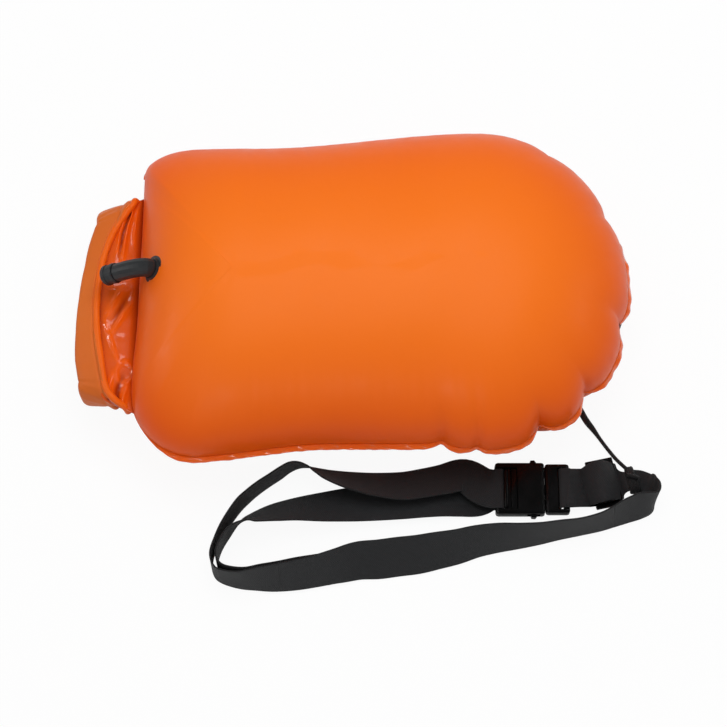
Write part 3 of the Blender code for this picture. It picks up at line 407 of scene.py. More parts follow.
# %% Moulded finishes
def moulded_material(name, colour, shade, roughness, grain, depth, **more):
    """Moulded surface: a fine grain in the bump, and slow patches in colour and gloss."""
    material, shader = new_material(name, **more)
    place = add_node(material, "TexCoord").outputs["Object"]
    fine = add_node(material, "TexNoise", {"Vector": place}, Scale=1 / grain, Detail=3.0)
    slow = add_node(material, "TexNoise", {"Vector": place}, Scale=60.0, Detail=2.0)
    feed(material, shader, Base_Color=ramp(material, slow.outputs[0], 0.35, 0.65, shade, colour))
    gloss = add_node(material, "MapRange", {0: slow.outputs[0]}, From_Min=0.3, From_Max=0.7,
                     To_Min=roughness * 0.85, To_Max=roughness * 1.15)
    bump = add_node(material, "Bump", {"Height": fine.outputs[0]}, Strength=0.35, Distance=depth)
    feed(material, shader, Roughness=gloss.outputs[0], Normal=bump.outputs[0])
    return material


acetal = moulded_material("moulded_black_acetal", "#0B0B0C", "#070707", 0.19, 0.0006, 0.00003, IOR=1.36)
rubber = moulded_material("moulded_grey_rubber", "#27292B", "#202224", 0.48, 0.0005, 0.00008, IOR=1.52)
steel = moulded_material("polished_stainless_wire", "#C9CBCC", "#BFC1C3", 0.16, 0.0004, 0.00002,
                         Metallic=1.0)

# %% [markdown]
# ## The tether
# The cord is free and limp. It leaves the knot on the ring, dives under the nose, is wound there into a
# small coil of two layers, and comes out to the belt. Only its last part shows. The route's points are
# those of the CAD source, because a scene can't read that file, and one more inside the belt's hitch. A
# simulated rope would settle anywhere, so the route is written as points with a smooth curve through them.

# %% Tether route
CORD = 0.0035
COIL_X, COIL_Y, COIL_RADIUS = 0.203, 0.010, 0.0185
lead_in = [(0.1796, 0.0574, 0.0085), (0.1764, 0.0561, 0.0085)]
lead_route = [(0.1752, 0.0520, 0.0045), (0.1746, 0.0420, 0.0022), (0.1778, 0.0280, 0.0021)]
cord_route = [(0.1806, -0.0020, 0.0058), (0.1790, -0.0160, 0.0036), (0.1770, -0.0340, 0.0021),
              (0.1766, -0.0560, 0.0021), (0.1800, -0.0760, 0.0021), (0.1865, -0.0915, 0.0021),
              (0.1949, -0.1035, 0.0021), (0.2045, -0.1180, 0.0026), (0.2125, -0.1300, 0.0050),
              (0.2190, -0.1385, 0.0085), (0.2229, -0.1427, 0.0098)]


def coil_line(count=24):
    """Loops in two layers: the radius shrinks by 1.16 diameters a turn, then grows again one layer up."""
    turn = np.arange(4 * count + 1) / count
    layer = np.minimum(turn // 2, 1)
    way = np.where(layer == 0, turn, 4 - turn)
    radius = COIL_RADIUS + CORD * 1.16 * (1 - way)
    climb = np.clip((turn - 1.75) / 0.5, 0, 1)
    height = CORD / 2 + 0.0003 + climb ** 2 * (3 - 2 * climb) * CORD * 1.14
    angle = np.pi + 2 * np.pi * turn
    return np.stack([COIL_X + radius * np.cos(angle), COIL_Y + radius * np.sin(angle), height], -1)


loops = coil_line()
run = np.array([0, -CORD, 0])
lead = spline(lead_in + lead_route + [loops[0] - run * 2.5, loops[0] - run], 4)
outward = spline([loops[-1] + run, loops[-1] + run * 2] + cord_route, 4)
tether_line = np.vstack([lead, loops, outward])
tether_line = tether_line[np.concatenate([[True], np.diff(lengths(tether_line)) > 1e-4])]
tether_length = float(lengths(tether_line)[-1])
print("tether length", round(tether_length, 3))

# %% [markdown]
# The cord is one tube on that line. It is 3.5 mm thick, and where it comes out from under the nose its
# sleeve is bunched up, so that its radius swells there for 40 mm.

# %% Tether cord
def smooth_step(x, low, high):
    """0 below low, 1 above high, and 3t^2 - 2t^3 between them."""
    t = np.clip((x - low) / (high - low), 0, 1)
    return t * t * (3 - 2 * t)


def band(x, low, full, fading, gone):
    """Rises from 0 to 1 between low and full, and falls back between fading and gone."""
    return smooth_step(x, low, full) * (1 - smooth_step(x, fading, gone))


along = lengths(tether_line)
toward_belt = -tether_line[:, 1] * (along > 0.4)
full = band(toward_belt, 0.070, 0.085, 0.094, 0.112)
tether_radius = CORD / 2 * (1.04 + 0.72 * full)
tether_line[:, 2] += np.maximum(tether_radius + 0.0003 - tether_line[:, 2], 0)
tether = tube("tether_cord_braid", tether_line, tether_radius, around=14)
finish_piece(tether, braid, None, ("tether_lead", "tether_coil", "tether_cord"))
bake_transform(tether)

# %% [markdown]
# Both knots are the same cord again. At the ring a loop passes through the steel and is closed by three
# turns round itself; at the belt the turns go round the gathered strap. A knot could be traced strand by
# strand, but at this size its turns are all that shows, so each knot is a helix with a core inside.


# %% Knots of the tether
def helix(middle, axis, wide, high, turns, length, reach_a, reach_b, count=20):
    """Turns round an axis: point = middle + axis * (share - 1/2) * length + wide * a cos + high * b sin."""
    share = np.linspace(0, 1, int(turns * count) + 1)
    turn = 2 * np.pi * turns * share
    return (np.asarray(middle) + np.outer((share - 0.5) * length, axis)
            + np.outer(reach_a * np.cos(turn), wide) + np.outer(reach_b * np.sin(turn), high))


EYE_LONG, EYE_HIGH, EYE_GAP = 0.0075, 0.00515, 26
TURN_CORD, CORE_CORD = 0.00165, 0.00175
inward = np.array([-0.9281, -0.3724, 0.0])
eye_middle = np.array([0.1967, 0.0642, 0.0085])
upward = np.array([0.0, 0.0, 1.0])
turn = np.radians(EYE_GAP + (360 - 2 * EYE_GAP) * np.arange(29) / 28)
eye_line = (eye_middle + np.outer(EYE_LONG * np.cos(turn), inward)
            + np.outer(EYE_HIGH * np.sin(turn), upward))
eye_line = np.vstack([eye_line[:1] + inward * 0.0021, eye_line, eye_line[-1:] + inward * 0.0021])
eye = tube("tether_eye_on_ring", eye_line, CORD / 2, start=np.cross(inward, upward))
finish_piece(eye, braid, None, ("tether_ring_eye",))
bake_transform(eye)

sideways = np.cross(upward, inward)
ring_turns = helix((0.18430, 0.05923, 0.0085), inward, sideways, upward, 2.5, 0.0052, 0.0030, 0.0030)
core = np.linspace((0.18855, 0.06093, 0.0085), (0.17985, 0.05744, 0.0085), 6)
ring_knot = tube("tether_knot_turns", ring_turns, TURN_CORD)
knot_core = tube("tether_knot_core", core, CORE_CORD)
for piece in (ring_knot, knot_core):
    finish_piece(piece, braid, "root", ("tether_ring_knot",))

# %% [markdown]
# ## The bag
# Two flat sheets are welded at their edges, and air pushes them apart. The weld line is a long side,
# rounded corners at the neck end and a half ellipse at the nose. A welded edge can't stretch, so round
# the nose it draws up into puckers: there the line dips inwards and a crease runs up the film. Cloth under
# pressure would find puckers of its own, so the line is drawn, with each pucker where the photo has it.

# %% The weld line
NOSE, NOSE_REACH, SEAM, RISE = 0.085, 0.138, 0.072, 0.085
LEFT, SPINE_LEFT, SHIFT = -0.230, -0.142, 0.009
PUCKERS = [(-107, 0.022, 3.0), (-92, 0.020, 2.5), (-66, 0.062, 6), (-43.5, 0.055, 6), (-13.4, 0.045, 6),
           (26.6, 0.026, 6), (59.7, 0.016, 7)]
DEGREE = 0.0022


def side_edge(x, way):
    """Y of a long side: the far one widens from 151 to 167 mm, and the near one has a waist of 13 mm."""
    if way > 0:
        return 0.151 + 0.016 * smooth_step(x, -0.12, NOSE)
    return -0.151 + 0.013 * smooth_step(x, -0.190, -0.05) - 0.006 * smooth_step(x, 0.035, NOSE)


def half_line(way, reach_x, reach_y):
    """The weld from the nose's tip to the middle of the neck, on the far side (way 1) or near side (-1):
    a quarter ellipse, a long side, a corner that is a quarter ellipse too, and a straight end. The second
    result is the angle round the nose in degrees, which runs on along the side at 2.2 mm a degree."""
    angle = np.linspace(0, 90, 241)
    widest = side_edge(NOSE, way)
    nose = np.stack([NOSE + NOSE_REACH * np.cos(np.radians(angle)),
                     SHIFT + (widest - SHIFT) * np.sin(np.radians(angle))], -1)
    x = NOSE + (LEFT + reach_x - NOSE) * np.linspace(0, 1, 181)[1:]
    side = np.stack([x, side_edge(x, way)], -1)
    turn = np.radians(np.linspace(0, 90, 49)[1:])
    bow = np.stack([-reach_x * np.sin(turn), way * reach_y * np.cos(turn)], -1)
    corner = side[-1] - [0, way * reach_y] + bow
    end = np.stack([np.full(61, LEFT), np.linspace(corner[-1, 1], 0.0, 61)], -1)[1:]
    line = np.vstack([nose, side, corner, end])
    slant = (0.0012 * smooth_step(line[:, 1], 0, 0.08)
             - 0.0036 * np.exp(-((line[:, 1] + 0.082) / 0.040) ** 2))
    line[:, 0] += slant * (1 - smooth_step(line[:, 0], LEFT, -0.19))
    run_on = np.concatenate([90 + (NOSE - x) / DEGREE, np.full(len(corner) + len(end), 999.0)])
    return line, way * np.concatenate([angle, run_on])


near_line, near_marks = half_line(-1, 0.056, 0.056)
far_line, far_marks = half_line(1, 0.050, 0.026)
print("weld line", round(float(lengths(near_line)[-1] + lengths(far_line)[-1]), 3), "m round")

# %% [markdown]
# ### Puckers
# Where slack gathers, the weld folds inwards and the film beside it rises in lobes. A sculpted brush could
# draw each one, but a sum of bells keeps the weld, both films and the welded strip in step, and a change
# of one angle or depth moves them all.


# %% Puckers
def dip(marks):
    """How far each pucker draws the weld in, as a share of its reach: bells round the pucker angles."""
    return sum(depth * np.exp(-((marks - at) / spread) ** 2) for at, depth, spread in PUCKERS)


def crease(marks):
    """A sharp notch at each pucker, like the cusp between two scallops: depth e^(-|a| / 2.6)."""
    return sum(depth * np.exp(-(np.sqrt((marks - at) ** 2 + 0.16) - 0.4) / 2.6)
               for at, depth, _ in PUCKERS)


def drawn_in(marks):
    """How far the welded line itself moves towards the nose's middle, from the dip and the crease."""
    return 0.50 * dip(marks) + 0.75 * crease(marks)


def small_waves(distance, seed):
    """Unequal ripples along the weld: five sines of 11 to 41 mm with their own phases."""
    phases = np.random.default_rng(seed).uniform(0, 2 * np.pi, 5)
    lengths_mm = (11, 16, 23, 31, 41)
    return sum(np.sin(2 * np.pi * distance / (mm / 1000) + f) for mm, f in zip(lengths_mm, phases)) / 3


def grown(line, grow, pull):
    """The weld line drawn in towards the nose's middle by pull, then grown outwards by a distance."""
    middle = np.array([NOSE, SHIFT])
    drawn = middle + (line - middle) * (1 - np.asarray(pull).reshape(-1, 1))
    normal = unit(np.stack([np.gradient(line[:, 1]), -np.gradient(line[:, 0])], -1))
    normal *= np.sign(np.sum(normal * line, -1, keepdims=True))
    return drawn + normal * np.asarray(grow).reshape(-1, 1)


# %% [markdown]
# Each chamber is one closed grid. Its rows go round the weld in pairs, far side and near side, and its
# columns cross the bag from the near weld over the crown to the far weld, then back along the seam. At
# angle a from the weld, a point is drawn in towards the spine by cos a and raised by sin a. A subdivided
# box could be inflated instead, but this formula keeps the height and the weld line of the CAD solid.


# %% Air chambers
ACROSS, FLOOR_ROUND = 60, 0.0016


def soft_clip(x, low, high):
    """x held between two ends without a corner: u / (1 + |u|^4)^(1/4) of its share."""
    middle, half = (low + high) / 2, (high - low) / 2
    u = (x - middle) / half
    return middle + half * u / (1 + np.abs(u) ** 4) ** 0.25


def chamber_half(line, marks, angles, way, seed):
    """Half a chamber, from its weld to the crown, as points[i, j] for weld point i and angle j. Its corners
    fade with height, because the level lines turn from the weld's shape into an ellipse round the pole."""
    way_y = 1 if line[1, 1] > SHIFT else -1
    share, height = np.cos(angles)[None, :], np.sin(angles)[None, :]
    spine_x = soft_clip((near_line[:, :1] + far_line[:, :1]) / 2, SPINE_LEFT, NOSE)
    spine_y = SHIFT * (spine_x - SPINE_LEFT) / (NOSE - SPINE_LEFT)
    distance = lengths(line)
    waves = (small_waves(distance, seed) * smooth_step(distance[-1] - distance, 0, 0.04))[:, None]
    pull = 0.50 * dip(marks)[:, None] * share ** 3 + 0.75 * crease(marks)[:, None] * share ** 14
    x = NOSE + (line[:, :1] - NOSE) * (1 - pull)
    y = SHIFT + (line[:, 1:] - SHIFT) * (1 - pull)
    beyond = np.minimum(line[:, :1] - SPINE_LEFT, 0) / (LEFT - SPINE_LEFT)
    widest = np.abs(side_edge(SPINE_LEFT, way_y) - spine_y)
    rounder = 1 / np.sqrt(np.maximum(beyond ** 2 + ((line[:, 1:] - spine_y) / widest) ** 2, 1e-9))
    rounder = np.where(line[:, :1] < SPINE_LEFT, np.minimum(rounder, 1), 1)
    level = rounder + (1 - rounder) * share ** 2.5
    x, y = spine_x + (x - spine_x) * level, spine_y + (y - spine_y) * level
    inset = 0.00045 * waves * share ** 10 * height ** 0.5
    shrink = share * (1 - inset * 8)
    x, y = spine_x + (x - spine_x) * shrink, spine_y + (y - spine_y) * shrink
    z = RISE * height * (1 + 0.010 * waves * share ** 6)
    slow = 0.0006 * (np.sin(x / 0.031 + 1.3 * way) * np.cos(y / 0.037 + 0.4)
                     + np.sin(x / 0.019 - y / 0.043))
    z = z + slow * height ** 2
    shut = smooth_step(np.abs(line[:, 1:]), 0.098, 0.108) * (1 - smooth_step(line[:, :1], -0.20, -0.17))
    return np.stack([x, y, SEAM + way * (0.0005 - 0.0003 * shut + z)], -1)


# %% [markdown]
# Two halves and a strip along the seam close into one shell for each chamber. The lower one is pressed on
# the floor: its height becomes (z + sqrt(z^2 + r^2)) / 2, which is flat below and rounds off at the rim. A
# cut with a plane would leave a hard edge there.


# %% Closing the chambers
def chamber(name, way, seed):
    """A closed pillow half: near weld, crown, far weld, and back along the seam."""
    angles = np.pi / 2 * (np.linspace(0, 1, ACROSS + 1) ** 1.15)
    near = chamber_half(near_line, near_marks, angles, way, seed)
    far = chamber_half(far_line, far_marks, angles, way, seed + 1)
    crown = (near[:, -1:] + far[:, -1:]) / 2
    back = np.linspace(0, 1, 13)[1:-1][None, :, None]
    seam = far[:, :1] * (1 - back) + near[:, :1] * back
    points = np.concatenate([near[:, :-1], crown, far[:, -2::-1], seam], 1)
    points[0, :, 1], points[-1, :, 1] = SHIFT, 0.0
    if way < 0:
        low = points[..., 2]
        points[..., 2] = 0.5 * (low + np.sqrt(low ** 2 + FLOOR_ROUND ** 2)) - 0.00004
    thing = grid_mesh(name, points, around=True, flip=way < 0)
    join_doubles(thing)
    return thing


def join_doubles(thing, distance=2e-6):
    """Merges points that lie on each other, where a grid closes on itself."""
    work = bmesh.new()
    work.from_mesh(thing.data)
    bmesh.ops.remove_doubles(work, verts=work.verts, dist=distance)
    bmesh.ops.dissolve_degenerate(work, edges=work.edges, dist=1e-7)
    bmesh.ops.recalc_face_normals(work, faces=work.faces)
    if work.calc_volume(signed=True) < 0:
        bmesh.ops.reverse_faces(work, faces=work.faces)
    open_edges = sum(1 for e in work.edges if len(e.link_faces) != 2)
    print(thing.name, len(work.verts), "points,", open_edges, "open edges")
    work.to_mesh(thing.data)
    work.free()


front_skin = chamber("front_chamber_film", 1, 3)
back_skin = chamber("back_chamber_film", -1, 11)
finish_piece(front_skin, satin_film, "root", ("front_air_chamber",))
finish_piece(back_skin, satin_film, "root", ("back_air_chamber",))

# %% [markdown]
# ### Welded edge
# All the sheets are pressed into one there. The CAD solid is a 9 mm band; what stands out of the film here
# is 6 mm of it. On the near side and between the puckers of the nose it lies in flat scallops, along the
# far side and round the neck's corners it hangs down, and at each pucker it is drawn in. A bevel of the
# bag's own edge could make it, but a strip of its own can lean, and has its own gloss.


# %% Welded edge
WELD_SHOWN, WELD_HALF_THICK = 0.0060, 0.0008
FALL, NOSE_FALL, FAR_FALL, NOTCH_FALL = 22, 24, 30, 10


def weld_strip(name):
    """A flat strip round the bag without the neck end. Its section is a thin oval that leans down by the
    fall angle: point = line + outward * w cos(fall) - up * w sin(fall)."""
    keep_near, keep_far = near_line[:-60], far_line[:-60]
    marks = np.concatenate([near_marks[:-60][::-1], far_marks[:-60][1:]])
    path = np.vstack([keep_near[::-1], keep_far[1:]])
    distance = lengths(path)
    notch = sum(np.exp(-((marks - at) / 4.0) ** 2) * min(1, depth / 0.04) for at, depth, _ in PUCKERS)
    corner = 1 - smooth_step(path[:, 0], -0.228, -0.184)
    far = np.maximum(smooth_step(marks, 15, 26), corner * (path[:, 1] > 0))
    width = WELD_SHOWN * (1 - 0.55 * notch) * (1 - (0.80 - 0.25 * (path[:, 1] > 0)) * corner)
    nose = smooth_step(path[:, 0], 0.03, 0.10)
    fall = np.radians(FALL + NOSE_FALL * nose + FAR_FALL * far * (1 - 0.4 * nose) + NOTCH_FALL * notch)
    fall = fall + 0.16 * small_waves(distance, 5)
    pull = drawn_in(marks)
    root = grown(path, -0.0006, pull)
    outward = unit(grown(path, 0.004, pull) - root)
    across = np.array([0, 0.08, 0.35, 0.7, 0.94, 1.0, 0.94, 0.7, 0.35, 0.08])
    up = np.array([0, 0.9, 1, 0.8, 0.6, 0, -0.6, -0.8, -1, -0.9]) * WELD_HALF_THICK
    reach = width[:, None] * across[None, :]
    sag = np.cos(fall)[:, None] * reach + np.sin(fall)[:, None] * up[None, :]
    flat = root[:, None] + outward[:, None] * sag[..., None]
    z = SEAM + np.cos(fall)[:, None] * up[None, :] - np.sin(fall)[:, None] * reach
    z += 0.0010 * small_waves(distance, 9)[:, None] * across[None, :] ** 1.5 * (1 - 0.7 * far[:, None])
    points = np.concatenate([flat, z[..., None]], -1)
    return grid_mesh(name, points, flat_map(path, across * 0.009), around=True, capped=True)


flange = weld_strip("welded_edge_strip")
finish_piece(flange, weld_film, "root", ("weld_flange",))

# %% [markdown]
# ### Inner liners
# Inside, a thin flat sheet closes each chamber and lines the dry bag between them. None of it shows while
# the bag is closed. It is still laid, as two plain sheets, so that each CAD liner has its piece, and a flat
# grid is enough for what only a cut would show.


# %% Inner liners
def liner_sheet(name, way):
    """The thin dry-bag liner between the chambers: a closed flat sheet 1 mm inside the weld line."""
    rows = [grown(line, -0.0012, drawn_in(marks))
            for line, marks in ((near_line, near_marks), (far_line, far_marks))]
    share = np.linspace(0, 1, 9)[None, :, None]
    flat = rows[0][:, None] * (1 - share) + rows[1][:, None] * share
    flat[0, :, 1], flat[-1, :, 1] = SHIFT, 0.0
    low = np.full(flat.shape[:2] + (1,), SEAM + way * 0.00025)
    top, under = np.concatenate([flat, low + 0.00018], -1), np.concatenate([flat, low - 0.00018], -1)
    sheet = grid_mesh(name, np.concatenate([top, under[:, ::-1]], 1), around=True)
    join_doubles(sheet)
    return sheet


for side_name, way in (("front", 1), ("back", -1)):
    finish_piece(liner_sheet(side_name + "_liner_film", way), liner, "root", (side_name + "_liner",))

# %% [markdown]
# ## The rolled mouth
# The mouth of the bag is flattened, rolled over a stiff strip, and its ends are bent down and buckled
# together under the neck. From above it is a flat satin band with a rounded bead along its inner edge,
# where the last turn of the roll lies, and the neck's two sheets run out of it into the bag. A real spiral
# could be wound, but only its outside shows, so one drawn section is carried along the mouth.


# %% Roll
HALF_MOUTH, ROLL_Z, ROLL_DROP = 0.080, 0.0745, 0.044


def roll_x(y):
    """X of the roll's middle: bowed away from the bag, and a little skewed."""
    share = y / HALF_MOUTH
    return -0.2735 + 0.0125 * share ** 2 + 0.0045 * share


def roll_rows():
    """The roll's route from its far end, up, along the mouth and down to its near end."""
    arms = {1: [(1.0, 0.0), (1.17, -0.18), (1.21, -0.52), (1.10, -0.88), (0.93, -1.0)],
            -1: [(1.0, 0.0), (1.12, -0.16), (1.13, -0.50), (1.05, -0.86), (0.93, -1.0)]}
    far, near = ([(roll_x(w * HALF_MOUTH), w * y * HALF_MOUTH, ROLL_Z + z * ROLL_DROP) for y, z in arms[w]]
                 for w in (1, -1))
    middle = [(roll_x(s * HALF_MOUTH), s * HALF_MOUTH, ROLL_Z) for s in (0.66, 0.33, 0.0, -0.33, -0.66)]
    return far[::-1] + middle + near


def closed_outline(corners, steps=5):
    """A smooth closed curve through corner points, in metres from millimetres."""
    c = np.asarray(corners, float) / 1000
    wrapped = np.vstack([c[-2:], c, c[:3]])
    return spline(wrapped, steps)[2 * steps:-3 * steps + 1][:-1]


# %% [markdown]
# The section is a flat pad with the step of the last turn in it, in millimetres. Where the ends bend down
# it is full, and along the mouth its inner side is narrower, because the neck lies over it there.

# %% Surface of the roll
roll_section = closed_outline([
    (14.9, 0.4), (14.6, 3.6), (12.2, 5.4), (9.4, 4.6), (7.0, 3.5), (4.6, 4.1), (2.0, 4.4),
    (-2.0, 4.5), (-6.0, 4.4), (-10.0, 4.1), (-13.2, 3.0), (-14.8, 0.6), (-14.2, -2.6), (-11.0, -4.4),
    (-5.0, -4.7), (0.5, -4.5), (1.2, -3.4), (2.2, -4.6), (7.0, -4.8), (11.0, -4.4), (13.8, -2.4)])
roll_path = spline(roll_rows(), 12)
ahead = tangents(roll_path)
drop = np.clip((roll_path[:, 2] - ROLL_Z + ROLL_DROP) / ROLL_DROP, 0, 1) * np.radians(15)
wide = np.stack([np.cos(drop), np.zeros_like(drop), np.sin(drop)], -1)
wide = unit(wide - ahead * np.sum(wide * ahead, -1, keepdims=True))
thick = np.cross(ahead, wide)
roll_run = lengths(roll_path)
from_middle = roll_run[np.argmin(np.abs(roll_path[:, 1]) + (roll_path[:, 2] < 0.06))] - roll_run
places = np.array([-125, -104, -92, -78, -55, -30, 0, 34, 60, 76, 90, 102, 125]) / 1000
inner_reach = [15, 19, 15, 9.5, 8.6, 7.4, 6.6, 6.0, 6.6, 9.0, 15, 19, 15]
outer_reach = [15, 17, 18, 18.5, 17, 14.5, 13, 13, 15.5, 17.4, 17.5, 17, 15]
inner, outer = (np.interp(from_middle, places, reach) / 14.9 for reach in (inner_reach, outer_reach))
bend = np.linalg.norm(np.gradient(ahead, axis=0), axis=1)
bend = bend / bend.max()
gathers = 0.00035 * bend * np.sin(roll_run * 2 * np.pi / 0.0072) + 0.0003 * small_waves(roll_run, 21)
a, b = roll_section[:, 0], roll_section[:, 1]
stretched = a[None, :] * np.where(a[None, :] > 0, inner[:, None], outer[:, None])
swell = 1 + gathers[:, None] / 0.005 * (b > 0)[None, :]
roll_points = swept(roll_path, wide, thick, stretched, b[None, :] * swell)
from_centre = np.abs(from_middle)
slant = 0.28 * band(from_centre, 0.045, 0.085, 0.10, 0.125)
roll_points[..., 1] += (np.sign(from_middle) * slant)[:, None] * stretched
inside = slice(2, -2)
core = swept(roll_path[inside], wide[inside], thick[inside], (stretched * 0.62)[inside], b * 0.16)
finish_piece(grid_mesh("roll_core_strip", core, around=True, capped=True), acetal, "root",
             ("roll_stiffener",))
roll = grid_mesh("rolled_mouth", roll_points, around=True, capped=True)
join_doubles(roll)
finish_piece(roll, band_film, "root", ("roll_closure",))

# %% [markdown]
# ### Rim of the roll
# The last turn of film stands up as a rounded bead along the roll's inner edge. It could be a bump in the
# roll's section, but its line wanders away from the roll's, so it is a tube of its own on measured points.

# %% Rim of the roll
RIM_Z, RIM_RADIUS = 0.0790, 0.0033
RIM_Y = [-0.1032, -0.0965, -0.084, -0.060, -0.030, 0.0, 0.034, 0.064, 0.085, 0.095, 0.101]
RIM_X = [-0.2384, -0.2496, -0.2573, -0.2620, -0.2669, -0.2681, -0.2650, -0.2569, -0.2455, -0.2384, -0.2358]
near_end = [(RIM_X[0] + 0.0020, RIM_Y[0] - 0.0015, 0.0660), (RIM_X[0] - 0.0010, RIM_Y[0] + 0.0005, 0.0735)]
far_end = [(RIM_X[-1] - 0.0010, RIM_Y[-1] - 0.001, 0.0760), (RIM_X[-1] + 0.0020, RIM_Y[-1] - 0.002, 0.0690)]
rim_middle = [(x, y, RIM_Z) for x, y in zip(RIM_X[1:-1], RIM_Y[1:-1])]
rim_line = spline(near_end + rim_middle + far_end, 8)
rim_run = lengths(rim_line)
rim_radius = RIM_RADIUS + 0.00022 * small_waves(rim_run, 12)
rim = tube("rolled_mouth_rim", rim_line, rim_radius, around=16, start=(1, 0, 0))
finish_piece(rim, rim_film, "root", ())

# %% [markdown]
# ### Neck sheets
# Between the roll and the bag the two glossy sheets lie on each other and crumple: short ridges run along
# the mouth, and some slant across it. Cloth simulation gives new creases at every change, so the ridges
# that the photo shows are bells along drawn lines. A painted shade is kept with them as an attribute: the
# material darkens the film in the fold valleys, in a line beside the rim and next to the bag.


# %% Neck sheets
FILM_THICK, NECK_SWELL, FADE = 0.0006, 0.0060, 0.12


def neck_sheet(name, way, seed):
    """One sheet of the neck: u goes from the bag to the roll and v from the far edge to the near edge. It
    swells by sin(pi u) sin(pi v), and ridges run along the mouth where the rolled film is gathered."""
    u, v = np.meshgrid(np.linspace(0, 1, 81), np.linspace(0, 1, 221), indexing="ij")
    y0, y1 = 0.104 - 0.214 * v, 0.0975 - 0.199 * v
    x1 = np.interp(y1, RIM_Y, RIM_X) - 0.0090
    x = -0.2290 * (1 - u) + x1 * u
    y = y0 + (y1 - y0) * u

    def ridge(centre, width, low, high, height):
        fade = band(v, low, low + FADE, high - FADE, high)
        return height * fade * np.exp(-((u - centre) / width) ** 2)

    folds = (ridge(0.36 + 0.03 * np.sin(7 * v), 0.050, -0.1, 0.34, 0.0030)
             + ridge(0.55 + 0.03 * np.sin(11 * v + 1), 0.040, -0.1, 0.30, 0.0018)
             - ridge(0.455 + 0.03 * np.sin(8 * v), 0.035, -0.1, 0.32, 0.0018)
             + ridge(0.20 + 0.02 * np.sin(9 * v + 2), 0.040, 0.02, 0.26, 0.0016)
             + ridge(0.42 + 1.9 * (v - 0.47), 0.060, 0.40, 0.60, 0.0024)
             + ridge(0.20 + 2.4 * (v - 0.52), 0.050, 0.46, 0.70, 0.0018)
             - ridge(0.30 + 2.0 * (v - 0.50), 0.050, 0.42, 0.64, 0.0014)
             + ridge(0.62 - 1.2 * (v - 0.62), 0.050, 0.56, 0.82, 0.0014)
             + ridge(0.15 + 2.2 * (v - 0.86), 0.070, 0.82, 1.10, 0.0030)
             + ridge(0.60 + 1.6 * (v - 0.88), 0.060, 0.80, 1.10, 0.0022)
             - ridge(0.38 + 1.9 * (v - 0.87), 0.060, 0.80, 1.05, 0.0020))
    round_fold = np.hypot(x + 0.2400, (y + 0.072) * 0.75)
    rounding = smooth_step(x, -0.2440, -0.2380) * 0.6 + 0.4
    folds = folds + 0.0022 * rounding * np.exp(-((round_fold - 0.0075) / 0.0019) ** 2)
    ripple = 0.00025 * small_waves(v[0] * 0.2, seed)[None, :] * np.sin(np.pi * u)
    swell = NECK_SWELL * np.sin(np.pi * np.clip(u * 0.97, 0, 1)) ** 0.7 * np.sin(np.pi * v) ** 0.4
    room = np.minimum(1, swell / 0.002)
    z = SEAM + 0.0020 * u + way * (0.00045 + swell + (folds + ripple) * room)
    # Painted shade kept as an attribute: darker in the fold valleys, in a band beside the rim and next to the
    # bag's edge.
    depth = np.clip(0.20 - folds / 0.0022, 0, 0.8) + 0.75 * np.exp(-((u - 0.80) / 0.09) ** 2)
    depth = np.clip(depth + 0.65 * np.exp(-(u / 0.14) ** 2), 0, 1)
    sheet = grid_mesh(name, np.stack([x, y, z], -1), flip=way < 0)
    kept = sheet.data.attributes.new("fold_depth", "FLOAT", "POINT")
    kept.data.foreach_set("value", depth.ravel().astype(np.float32))
    wall = sheet.modifiers.new("film_thickness", "SOLIDIFY")
    wall.thickness, wall.offset = FILM_THICK, -1.0
    return sheet


for side_name, way in (("front", 1), ("back", -1)):
    sheet = neck_sheet("neck_" + side_name + "_film", way, 31 + way)
    finish_piece(sheet, gloss_film, "root", ("neck_" + side_name + "_panel",))

# %% [markdown]
# ## Flat straps
# A strap is a thin oval section carried along a path. It stands upright or lies flat by its lean: 90
# degrees is on edge. Its path is that of the CAD source, from shares of the belt's span and depth.


# %% Strap sections
def strap_frames(path, fixed_side=None, from_sample=0, stretch=1):
    """The level side of a strap at each point of its path, kept on one hand where the path is steep, and
    its direction. A fixed side takes over from one sample on, where the strap climbs or gathers."""
    ahead = np.gradient(path, axis=0)
    side = np.stack([-ahead[:, 1], ahead[:, 0], np.zeros(len(path))], -1)
    level = np.linalg.norm(side, axis=1) > 0.05 * np.abs(ahead[:, 2])
    first = path[min(8 * stretch, len(path) - 1)] - path[0]
    last = unit(np.array([-first[1], first[0], 0.0]))
    for k in range(len(path)):
        here = unit(side[k]) if level[k] else last
        last = side[k] = here if here.dot(last) >= 0 else -here
    ahead = unit(ahead)
    if fixed_side is not None:
        turned = np.clip((np.arange(len(path)) / stretch - from_sample) / 4 + 1, 0, 1)[:, None]
        side = unit(side * (1 - turned) + fixed_side * turned)
        square = np.array([fixed_side[1], -fixed_side[0], 0.0])
        ahead = unit(ahead * (1 - turned) + square * turned)
    return side, ahead


edge_turn = np.pi * (np.arange(7) / 6 - 0.5)
STRAP_SECTION = np.vstack([
    np.stack([np.linspace(-0.96, 0.96, 23), np.full(23, -1.0)], -1)[:-1],
    np.stack([0.965 + 0.035 * np.cos(edge_turn), np.sin(edge_turn)], -1),
    np.stack([np.linspace(0.96, -0.96, 23), np.full(23, 1.0)], -1)[1:-1],
    np.stack([-0.965 - 0.035 * np.cos(edge_turn), -np.sin(edge_turn)], -1)[:-1]])


